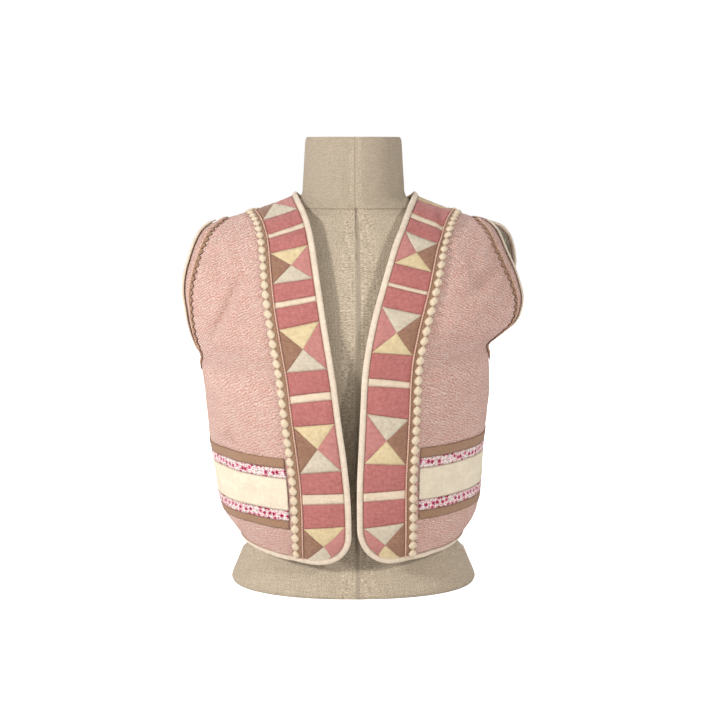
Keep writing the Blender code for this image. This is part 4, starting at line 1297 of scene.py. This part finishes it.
def piping_piece(name, place_at, low, high, node):
    bs = steps_between(low, high, PIPING_PITCH / 4)
    run = run_of(place_at, PIPING_MIDDLE, bs)
    places, normals = place_at(np.full_like(bs, PIPING_MIDDLE), bs, PIPING_LIFT)
    cutting = Cutting().add(*piping_tube(places, normals, run, PIPING_RADIUS, False), facing=normals)
    piece = cutting.sew(name, (PIPING_THREAD,), PIPING_WALL, "light_piping", node)
    print(name, "length", round(float(run[-1]), 3))
    return piece


def tape_piece(name, place_at, low, high, node):
    """A flat tape that follows an edge, a little crowned across."""
    us, bs = steps_between(*TAPE, TRIM_CELL / 2), steps_between(low, high, TRIM_CELL)
    u, b = np.meshgrid(us, bs)
    share = (us - TAPE[0]) / (TAPE[1] - TAPE[0])
    rise = TAPE_LIFT + TAPE_CROWN * (1 - (2 * share - 1) ** 4)
    places, normals = place_at(u, b, np.broadcast_to(rise, u.shape))
    run = run_of(place_at, us[len(us) // 2], bs)
    # Painted shade along both edges of the tape, where the piping lies beside it and the braid laps over it.
    seam = np.broadcast_to(np.exp(-((1 - np.abs(2 * share - 1)) / 0.22) ** 2) * 0.5, u.shape)
    cutting = Cutting().add(places, uv_grid(us[None, :], run[:, None]), seam, facing=normals)
    return cutting.sew(name, (BROWN_TAPE,), TAPE_WALL, "brown_tape", node)


def braid_piece(name, place_at, low, high, node):
    """A chain of padded diamonds on a thin core."""
    bs = np.linspace(low, high, 500)
    run = run_of(place_at, BRAID_MIDDLE, bs)
    count = int(run[-1] // BRAID_PITCH)
    pitch = run[-1] / count
    line = np.linspace(-1, 1, DIAMOND_CELLS + 1)
    x, y = np.meshgrid(line, line)
    p, q = (x + y) / 2, (y - x) / 2
    reach = (np.abs(p) ** DIAMOND_ROUND + np.abs(q) ** DIAMOND_ROUND) ** (1 / DIAMOND_ROUND)
    fuller = (np.abs(p) + np.abs(q)) / np.maximum(reach, 1e-9)
    p, q = p * fuller, q * fuller
    inside = 1 - np.maximum(np.abs(x), np.abs(y)) ** 2.4
    cutting = Cutting()
    for index in range(count):
        middle = (index + 0.5) * pitch
        away = middle + p * pitch * 0.54
        u = BRAID_MIDDLE + q * DIAMOND_HALF_WIDTH
        lift = DIAMOND_LIFT + DIAMOND_RISE * inside
        places, normals = place_at(u, np.interp(away, run, bs), lift)
        # Painted shade round the edge of each diamond, where it meets the core and the tape.
        cutting.add(places, uv_grid(u, away), (1 - inside) ** 3 * 0.4, facing=normals)
    core_us = np.linspace(BRAID_MIDDLE - CORE_HALF_WIDTH, BRAID_MIDDLE + CORE_HALF_WIDTH, 4)
    core_bs = steps_between(low, high, TRIM_CELL)
    u, b = np.meshgrid(core_us, core_bs)
    places, normals = place_at(u, b, np.full(u.shape, CORE_LIFT))
    uvs = uv_grid(core_us[None, :], np.interp(core_bs, bs, run)[:, None])
    # The core is all painted shade, where it lies under and between the diamonds.
    cutting.add(places, uvs, np.full(u.shape, 0.8), facing=normals)
    piece = cutting.sew(name, (BRAID_THREAD,), BRAID_WALL, "cream_braid", node)
    print(name, "diamonds", count, "pitch", round(pitch, 4))
    return piece


# %% Sew on piping, tape and braid
def front_place(side):
    return lambda u, b, lift: on_band(side, u, b, lift, True)


NECK_END = 0.0004
EDGES = {
    # side: label, place function, start and end
    -1: ("left", front_place(-1), BOTTOM, TOP),
    1: ("right", front_place(1), BOTTOM, TOP),
    0: ("back", neck_place, NECK_END, NECK_LENGTH - NECK_END),
}
for key, (label, *edge) in EDGES.items():
    sewn_on[key] += [
        piping_piece(f"stitched_piping_{label}", *edge, f"band_piping_{label}"),
        tape_piece(f"ribbed_tape_{label}", *edge, f"brown_tape_{label}"),
        braid_piece(f"braid_diamonds_{label}", *edge, f"diamond_braid_{label}"),
    ]

# %% [markdown]
# ## The hem strips
# Five strips cross each front and the back: ribbon, flowered cotton, a wide cream strip, flowered cotton
# and ribbon. Each puffs a little between its sewn edges and has short uneven puckers along them.

# %% Sew the hem strips
STRIP_LOOKS = {
    "brown": (BROWN_TAPE, "brown_tape", 0.0003),
    "flower": (FLOWERED, "flower_cotton", 0.0005),
    "cream": (STRIP_CREAM, "cream_cotton", 0.0009),
}
STRIP_CELL = 0.0020
STRIP_WALL = 0.0005
STRIP_LIFT = 0.0008
STRIP_PUCKER = 0.00022


def hem_strip(name, label, sheet, us, top, bottom):
    material, slot, puff = STRIP_LOOKS[name.split("_")[0]]
    heights = steps_between(bottom + 0.0001, top - 0.0001, min(STRIP_CELL, (top - bottom) / 5))
    from_edge = np.minimum(heights - heights[0], heights[-1] - heights)[:, None]
    run = metres_across(sheet, us, heights)
    soft = np.exp(-from_edge / 0.0030)
    pucker = ripple(run * 1.4, heights[:, None] * 0.4, 77 + len(name))
    lift = STRIP_LIFT + puff * (1 - soft) + STRIP_PUCKER * pucker * soft
    lift = lift * (1 - 0.25 * np.exp(-((run[:, -1:] - run) / 0.003) ** 2))
    places, normals = sheet.at(us[None, :], heights[:, None], lift, True)
    uvs = uv_grid(run, heights[:, None])
    if name.startswith("brown"):
        uvs = uvs[..., ::-1]
    shade = np.broadcast_to(np.exp(-(from_edge / 0.0009) ** 2) * 0.6, run.shape)
    cutting = Cutting().add(places, uvs, shade, facing=normals)
    piece = cutting.sew(f"hem_{name}_{label}", (material,), STRIP_WALL, slot, f"{name}_{label}")


strip_us = np.concatenate(([BRAID_OUTER + SEAM_GAP], np.linspace(BRAID_OUTER, 1.0, 82)[1:]))
strip_back_us = np.linspace(0.0, 1.0, 180)
level = STRIP_TOP
for name, height in STRIP_HEIGHTS:
    for side in (-1, 1):
        hem_strip(name, SIDE_NAMES[side], fronts[side], strip_us, level, level - height)
    hem_strip(name, "back", back, strip_back_us, level, level - height)
    level -= height

# %% [markdown]
# ## Bindings
# A binding is a bias strip folded over a raw edge. Its section is a flat round loop round the edge of the
# cloth. The real ones have slight slanting ripples, so the section swells a little along its way.

# %% Sections of a binding
BINDING_CELL = 0.0026
BINDING_POINTS = 14
BINDING_WRAP = 2.85
BINDING_WALL = 0.0005


def edge_frames(points, out_first, rounds):
    """Even places on a closed edge with normals and the way out past the edge."""
    line, along, length = even_line(points, BINDING_CELL, True)
    line = soften(line, rounds, True)
    normals = np.array([nearest(Vector(place))[1] for place in line])
    normals = soften(normals, 3, True)
    normals /= np.linalg.norm(normals, axis=1, keepdims=True)
    run = np.roll(line, -1, 0) - np.roll(line, 1, 0)
    way = np.cross(run, normals)
    way /= np.linalg.norm(way, axis=1, keepdims=True)
    if out_first(line, way) < 0:
        way = -way
    return line, normals, way, along[:-1], length


def binding_piece(name, frames, width, rise, node, seed):
    line, normals, way, along, length = frames
    angle = np.linspace(1, -1, BINDING_POINTS + 1) * BINDING_WRAP
    share = along[:, None] / length * 2 * np.pi
    draw = np.random.default_rng(seed)
    swell = np.ones((len(line), 1))
    for turns in (91, 137, 206, 283):
        swell = swell + 0.022 * np.sin(turns * share + draw.uniform(0, 6) + angle[None, :] * 0.8)
    out = width / 2 + (width / 2 + 0.0001) * np.sign(np.cos(angle)) * np.abs(np.cos(angle)) ** 0.85
    up = rise * np.sign(np.sin(angle)) * np.abs(np.sin(angle)) ** 0.8
    places = line[:, None] + way[:, None] * out[None, :, None]
    places = places + normals[:, None] * (up[None, :] * swell)[..., None]
    places = np.concatenate((places, places[:1]))
    rings = np.concatenate((along, [length]))
    uvs = uv_grid(angle[None, :] * width / math.pi, rings[:, None])
    # Painted shade along the binding's sewn inner edge, where it meets the cloth.
    painted_seam_shade = np.exp(-(out / (width * 0.16)) ** 2) * 0.8
    cutting = Cutting().add(places, uvs, np.broadcast_to(painted_seam_shade, places.shape[:2]), facing=way)
    piece = cutting.sew(name, (BINDING_COTTON,), BINDING_WALL, "cream_binding", node, welded=True)
    print(name, "length", round(float(length), 3))
    return piece


# %% Sew the edge binding and the armhole bindings
BINDING_RISE = 0.0019
EDGE_BOTTOM = HEM + FIRST
edge_heights = np.linspace(EDGE_BOTTOM, SHOULDER, 240)
front_hem_us = np.concatenate((np.linspace(FIRST, BRAID_OUTER, 60), np.linspace(BRAID_OUTER, 1.0, 100)[1:]))
back_hem_us = np.linspace(0.0, 1.0, 240)
neck_us = np.linspace(0.5 - NECK_SHARE / 2, 0.5 + NECK_SHARE / 2, 160)
edge_points = np.concatenate((
    fronts[1].at(FIRST, edge_heights[:-1]),
    back.at(neck_us[::-1], SHOULDER),
    fronts[-1].at(FIRST, edge_heights[-2::-1]),
    fronts[-1].at(front_hem_us[1:-1], EDGE_BOTTOM),
    back.at(back_hem_us, EDGE_BOTTOM),
    fronts[1].at(front_hem_us[-2:0:-1], EDGE_BOTTOM),
))
edge_frame = edge_frames(edge_points, lambda line, way: -way[20][0], 3)
binding_piece("edge_binding_cotton", edge_frame, BINDING_WIDTH, BINDING_RISE, "edge_binding", 31)

ARMHOLE_BINDING_WIDTH = 0.0050
ARMHOLE_BINDING_RISE = 0.0017
armhole_frames = {}
for side in (-1, 1):
    heights = np.linspace(UNDERARM, SHOULDER, 130)
    outer = 0.0 if side < 0 else 1.0
    points = np.concatenate((fronts[side].at(1.0, heights), back.at(outer, heights[-2:0:-1])))
    centre = points.mean(axis=0)
    frames = edge_frames(points, lambda line, way: ((centre - line) * way).sum(), 4)
    armhole_frames[side] = frames
    label = SIDE_NAMES[side]
    binding_piece(f"armhole_binding_cotton_{label}", frames, ARMHOLE_BINDING_WIDTH, ARMHOLE_BINDING_RISE,
                  f"armhole_binding_{label}", 40 + side)

# %% [markdown]
# ## Piping and rickrack round the armholes
# A thin piping lies a little in from the armhole edge, with the teeth of a brown rickrack just inside it.
# The rest of the rickrack is caught under the piping, so the piece is straight on one side and has pointed
# teeth on the other.

# %% Sew the armhole trims
ARMHOLE_PIPING = 0.0099
ARMHOLE_PIPING_RADIUS = 0.0008
ARMHOLE_LIFT = 0.0014
ARMHOLE_WIDER = 0.0050
RICKRACK_INNER = 0.0106
RICKRACK_VALLEY = 0.0119
RICKRACK_TOOTH = 0.0052
RICKRACK_CROWN = 0.0005
TOOTH_PITCH = 0.0082
TOOTH_CELLS = 8


def lay_out_armhole(side):
    """The cloth round an armhole, over metres in from the edge and along it."""
    line, _, way, along, length = armhole_frames[side]
    distances = np.linspace(0.0, 0.0240, 13)
    rows = np.array([walk(place, -out, distances) for place, out in zip(line, way)])
    for column in range(rows.shape[1]):
        rows[:, column] = soften(rows[:, column], 4, True)
        rows[:, column] = [nearest(Vector(place))[0] for place in rows[:, column]]
    rows = np.concatenate((rows, rows[:1]))
    return Laid(distances, np.concatenate((along, [length])), rows), length


def wider_in(round_arm, along):
    """How much further in the trims lie on the upper front, where the strip beside the edge is wider."""
    edge = round_arm.at(np.zeros_like(along), along)
    front = smooth_step(AXIS_Y - edge[:, 1], -0.005, 0.012)
    return ARMHOLE_WIDER * front * smooth_step(edge[:, 2], 0.300, 0.380)


for side in (-1, 1):
    label = SIDE_NAMES[side]
    round_arm, length = lay_out_armhole(side)
    count = int(round(length / PIPING_PITCH)) * 4
    along = np.linspace(0.0, length, count + 1)[:-1]
    inward = ARMHOLE_PIPING + wider_in(round_arm, along)
    places, normals = round_arm.at(inward, along, ARMHOLE_LIFT, True)
    tube = piping_tube(places, normals, along, ARMHOLE_PIPING_RADIUS, True, length / (count // 4))
    sewn_on[side].append(Cutting().add(*tube, facing=normals).sew(
        f"armhole_piping_thread_{label}", (PIPING_THREAD,), PIPING_WALL, "light_piping",
        f"armhole_piping_{label}", welded=True,
    ))

    teeth = int(round(length / TOOTH_PITCH))
    along = np.linspace(0.0, length, teeth * TOOTH_CELLS + 1)
    tooth = 1 - np.abs(1 - 2 * (along / length * teeth % 1)) ** 1.4
    outer = RICKRACK_VALLEY + RICKRACK_TOOTH * tooth
    share = np.linspace(0.0, 1.0, 6)
    d = RICKRACK_INNER + (outer[:, None] - RICKRACK_INNER) * share[None, :]
    d = d + wider_in(round_arm, along)[:, None]
    lift = ARMHOLE_LIFT + RICKRACK_CROWN * np.sin(np.pi * share)[None, :]
    places, normals = round_arm.at(d, along[:, None], lift, True)
    shade = np.broadcast_to((share ** 6 * 0.5)[None, :], d.shape)
    cutting = Cutting().add(places, uv_grid(d, along[:, None]), shade, facing=normals)
    sewn_on[side].append(cutting.sew(
        f"rickrack_teeth_{label}", (BROWN_TAPE,), TAPE_WALL, "brown_tape", f"rickrack_{label}",
    ))
    print("teeth", teeth)

# %% State the panels' cuts
FRONT_CUT = (0.235, 0.430)
BACK_CUT = (0.480, 0.440)
for key, cut in ((-1, FRONT_CUT), (1, FRONT_CUT), (0, BACK_CUT)):
    piece = panels[key]
    print(piece.name, "cloth area", round(mesh_area(piece), 4), "of", round(cut[0] * cut[1], 4))

# %% [markdown]
# ## The dress form
# The form is a padded body under linen, with a seam down the centre front and one round the base of the
# neck. It starts as Blender's sphere, whose rings are moved to the measured rings. Where it would touch the
# cloth it is pressed in a little, as padding is.

# %% Rings of the form
FORM_RINGS = np.array((
    # height, half width, front, back, roundness
    (0.0000, 0.1450, 0.1105, 0.0985, 2.2),
    (0.0040, 0.1465, 0.1120, 0.1000, 2.2),
    (0.0200, 0.1400, 0.1055, 0.0940, 2.2),
    (0.0400, 0.1325, 0.0985, 0.0870, 2.2),
    (0.0750, 0.1270, 0.0935, 0.0820, 2.2),
    (0.1200, 0.1290, 0.0960, 0.0830, 2.2),
    (0.1700, 0.1370, 0.1050, 0.0880, 2.2),
    (0.2200, 0.1450, 0.1160, 0.0930, 2.2),
    (0.2700, 0.1500, 0.1230, 0.0980, 2.2),
    (0.3100, 0.1520, 0.1210, 0.1020, 2.2),
    (0.3500, 0.1540, 0.1100, 0.1030, 2.2),
    (0.3850, 0.1540, 0.0930, 0.0990, 2.1),
    (0.4100, 0.1530, 0.0740, 0.0900, 2.1),
    (0.4225, 0.1510, 0.0600, 0.0760, 2.0),
    (0.4295, 0.1460, 0.0520, 0.0680, 2.0),
    (0.4345, 0.1310, 0.0480, 0.0620, 2.0),
    (0.4400, 0.1060, 0.0470, 0.0580, 2.0),
    (0.4460, 0.0820, 0.0465, 0.0550, 2.0),
    (0.4530, 0.0660, 0.0460, 0.0530, 2.0),
    (0.4610, 0.0605, 0.0455, 0.0510, 2.0),
    (0.4720, 0.0595, 0.0450, 0.0500, 2.0),
    (0.4950, 0.0580, 0.0440, 0.0490, 2.0),
    (0.5225, 0.0562, 0.0430, 0.0480, 2.0),
    (0.5260, 0.0545, 0.0415, 0.0465, 2.0),
))
FORM_SEGMENTS = 160
FORM_CLEAR = 0.0026
NECK_SEAM = 0.4435
CENTRE_SEAM_X = 0.0030
SEAM_HALF = 0.0005
SEAM_DEPTH = 0.0006


def form_levels():
    """Heights of the form's rings, close together at the neck seam and the rims."""
    even = np.concatenate((np.linspace(0.0, 0.42, 110), np.linspace(0.423, 0.522, 60)))
    seam = NECK_SEAM + np.array((-0.0016, -0.0007, 0.0, 0.0007, 0.0016))
    even = even[np.abs(even - NECK_SEAM) > 0.0019]
    rims = np.array((0.0015, 0.0030, 0.5235, 0.5245, 0.5253, 0.5258, 0.5260))
    return np.unique(np.round(np.concatenate((even, seam, rims)), 5))


def form_angles():
    """Angles of the form's upright lines, with a close set at the centre front seam."""
    turns = np.linspace(-np.pi, np.pi, FORM_SEGMENTS + 1)[:-1]
    seam = -np.pi / 2 + CENTRE_SEAM_X / 0.118
    index = int(np.argmin(np.abs(turns - seam)))
    close = np.array((-0.016, -0.006, 0.0, 0.006, 0.016))
    turns[index - 2:index + 3] = seam + close
    return turns


def form_place(height, angle):
    half_width, front, behind, roundness = [
        float(smooth_rows(FORM_RINGS[:, 0], FORM_RINGS[:, column], [height])[0]) for column in (1, 2, 3, 4)
    ]
    across, out = np.cos(angle), np.sin(angle)
    depth = np.where(out > 0, behind, front)
    x = half_width * np.sign(across) * np.abs(across) ** (2 / roundness)
    y = depth * np.sign(out) * np.abs(out) ** (2 / roundness)
    return np.stack((AXIS_X + x, AXIS_Y + y, np.full_like(x, height)), axis=1)


def under_cloth(place):
    """Presses a place on the form in where it would touch the cloth, outside the neckline."""
    if place.z < HEM or place.z > 0.462 or abs(place.x - AXIS_X) < NECK_X[-1]:
        return place
    found, normal = nearest(place)
    below = -(place - found).dot(normal)
    needed = CLOTH_WALL + FORM_CLEAR
    return place if below >= needed else place - normal * (needed - below)


levels, angles = form_levels(), form_angles()
table = np.array([form_place(height, angles) for height in levels])
radial = table[:, :, :2] - np.array((AXIS_X, AXIS_Y))
radial /= np.linalg.norm(radial, axis=2, keepdims=True)
sewn = np.exp(-((levels - NECK_SEAM) / SEAM_HALF) ** 2)[:, None] * np.ones(len(angles))[None, :]
centre = (np.abs(table[:, :, 0] - AXIS_X - CENTRE_SEAM_X) < 0.0006) & (table[:, :, 1] < AXIS_Y)
below_neck = (levels < NECK_SEAM)[:, None] & (levels > 0.004)[:, None]
sewn = np.maximum(sewn, np.where(centre & below_neck, 1.0, 0.0))
table[:, :, :2] -= radial * (sewn * SEAM_DEPTH)[..., None]
print("form rings", len(levels), "upright lines", len(angles))

# %% Shape the form from a sphere
bm = bmesh.new()
rings = len(levels) + 1
bmesh.ops.create_uvsphere(bm, u_segments=FORM_SEGMENTS, v_segments=rings, radius=1.0)
seam_layer = bm.verts.layers.float.new("seam")
uv_layer = bm.loops.layers.uv.new("cloth")
turn_of, level_of = {}, {}
for vert in bm.verts:
    ring = round(math.acos(max(min(-vert.co.z, 1.0), -1.0)) / math.pi * rings) - 1
    spin = round((math.atan2(vert.co.y, vert.co.x) + math.pi) / (2 * math.pi) * FORM_SEGMENTS)
    spin %= FORM_SEGMENTS
    if ring < 0 or ring >= len(levels):
        vert.co = (AXIS_X, AXIS_Y, levels[0] if ring < 0 else levels[-1])
        turn_of[vert], level_of[vert] = None, vert.co.z
        continue
    turn_of[vert], level_of[vert] = spin, levels[ring]
    vert[seam_layer] = float(sewn[ring, spin])
    vert.co = under_cloth(Vector(table[ring, spin]))
FORM_GIRTH_RADIUS = 0.125
for face in bm.faces:
    spins = [turn_of[vert] for vert in face.verts if turn_of[vert] is not None]
    wraps = max(spins) - min(spins) > FORM_SEGMENTS / 2
    for loop in face.loops:
        spin = turn_of[loop.vert]
        spin = sum(spins) / len(spins) if spin is None else spin
        spin = spin + FORM_SEGMENTS if wraps and spin < FORM_SEGMENTS / 2 else spin
        turned = spin / FORM_SEGMENTS * 2 * math.pi * FORM_GIRTH_RADIUS
        loop[uv_layer].uv = (turned, level_of[loop.vert])
bmesh.ops.recalc_face_normals(bm, faces=bm.faces)
mesh = bpy.data.meshes.new("linen_form")
bm.to_mesh(mesh)
bm.free()
mesh.shade_smooth()
mesh.materials.append(LINEN)
form = bpy.data.objects.new("linen_form", mesh)
bpy.context.scene.collection.objects.link(form)
place_piece(form, "form_linen", "dress_form")

# %% [markdown]
# ## Floor, light and camera
# The floor is plain and pale, and glows a little where the camera sees it, so that no horizon shows. A key
# light stands on the left in front, a weaker one on the right, a broad one behind, and a white surround
# fills the shade. The camera stands two metres away and looks down a little.

# %% Floor
def seen_apart(tree, bounced, seen, output):
    """One shader for what the camera sees and another for the light that bounces."""
    path = add_node(tree, "ShaderNodeLightPath")
    either = add_node(tree, "ShaderNodeMixShader")
    tree.links.new(path.outputs["Is Camera Ray"], either.inputs[0])
    tree.links.new(bounced.outputs[0], either.inputs[1])
    tree.links.new(seen.outputs[0], either.inputs[2])
    tree.links.new(either.outputs[0], tree.nodes[output].inputs["Surface"])


bm = bmesh.new()
bmesh.ops.create_grid(bm, x_segments=1, y_segments=1, size=4.0)
bmesh.ops.translate(bm, verts=bm.verts, vec=(0.0, 0.0, -0.0004))
mesh = bpy.data.meshes.new("studio_floor")
bm.to_mesh(mesh)
bm.free()
floor = bpy.data.objects.new("studio_floor", mesh)
bpy.context.scene.collection.objects.link(floor)
floor_material = bpy.data.materials.new("pale floor")
floor_material.use_nodes = True
floor_shader = floor_material.node_tree.nodes["Principled BSDF"]
floor_shader.inputs["Base Color"].default_value = (0.92, 0.92, 0.92, 1.0)
floor_shader.inputs["Roughness"].default_value = 0.95
floor_tree = floor_material.node_tree
glow = add_node(floor_tree, "ShaderNodeEmission", {"Color": (1.0, 1.0, 1.0, 1.0), "Strength": 1.0})
lit = add_node(floor_tree, "ShaderNodeAddShader")
floor_tree.links.new(floor_shader.outputs[0], lit.inputs[0])
floor_tree.links.new(glow.outputs[0], lit.inputs[1])
seen_apart(floor_tree, floor_shader, lit, "Material Output")
mesh.materials.append(floor_material)

# %% Lights and surround
def soft_light(name, place, target, size, watts, colour):
    light = bpy.data.lights.new(name, "AREA")
    light.shape = "DISK"
    light.size = size
    light.energy = watts
    light.color = colour
    lamp = bpy.data.objects.new(name, light)
    lamp.location = place
    lamp.rotation_euler = (Vector(target) - Vector(place)).to_track_quat("-Z", "Y").to_euler()
    bpy.context.scene.collection.objects.link(lamp)
    return lamp


soft_light("key light", (-2.2, -1.45, 1.3), (0.0, 0.0, 0.28), 0.4, 57.0, (1.0, 0.98, 0.95))
soft_light("fill light", (1.7, -1.75, 1.5), (0.0, 0.0, 0.28), 0.25, 25.0, (1.0, 0.97, 0.93))
soft_light("back light", (0.4, 2.2, 1.7), (0.0, 0.0, 0.3), 1.4, 24.0, (1.0, 1.0, 1.0))
world = bpy.data.worlds.new("white surround")
bpy.context.scene.world = world
world.use_nodes = True
sky = world.node_tree
surround = sky.nodes["Background"]
surround.inputs["Color"].default_value = (1.0, 0.99, 0.98, 1.0)
surround.inputs["Strength"].default_value = 0.33
seen = add_node(sky, "ShaderNodeBackground", {"Color": (1.0, 1.0, 1.0, 1.0), "Strength": 1.0})
seen_apart(sky, surround, seen, "World Output")
bpy.context.scene.view_settings.view_transform = "Standard"
bpy.context.scene.view_settings.look = "None"

# %% Camera
CAMERA_DISTANCE = 1.982
CAMERA_HEIGHT = 0.5077
CAMERA_TILT = 6.844
lens = bpy.data.cameras.new("photo camera")
lens.lens = 85.26
lens.sensor_width = 36.0
lens.clip_start = 0.05
camera = bpy.data.objects.new("photo camera", lens)
camera.location = (0.0010, AXIS_Y - CAMERA_DISTANCE, CAMERA_HEIGHT)
camera.rotation_euler = (math.radians(90 - CAMERA_TILT), 0.0, 0.0)
bpy.context.scene.collection.objects.link(camera)
bpy.context.scene.camera = camera
print("camera at", tuple(round(value, 3) for value in camera.location))
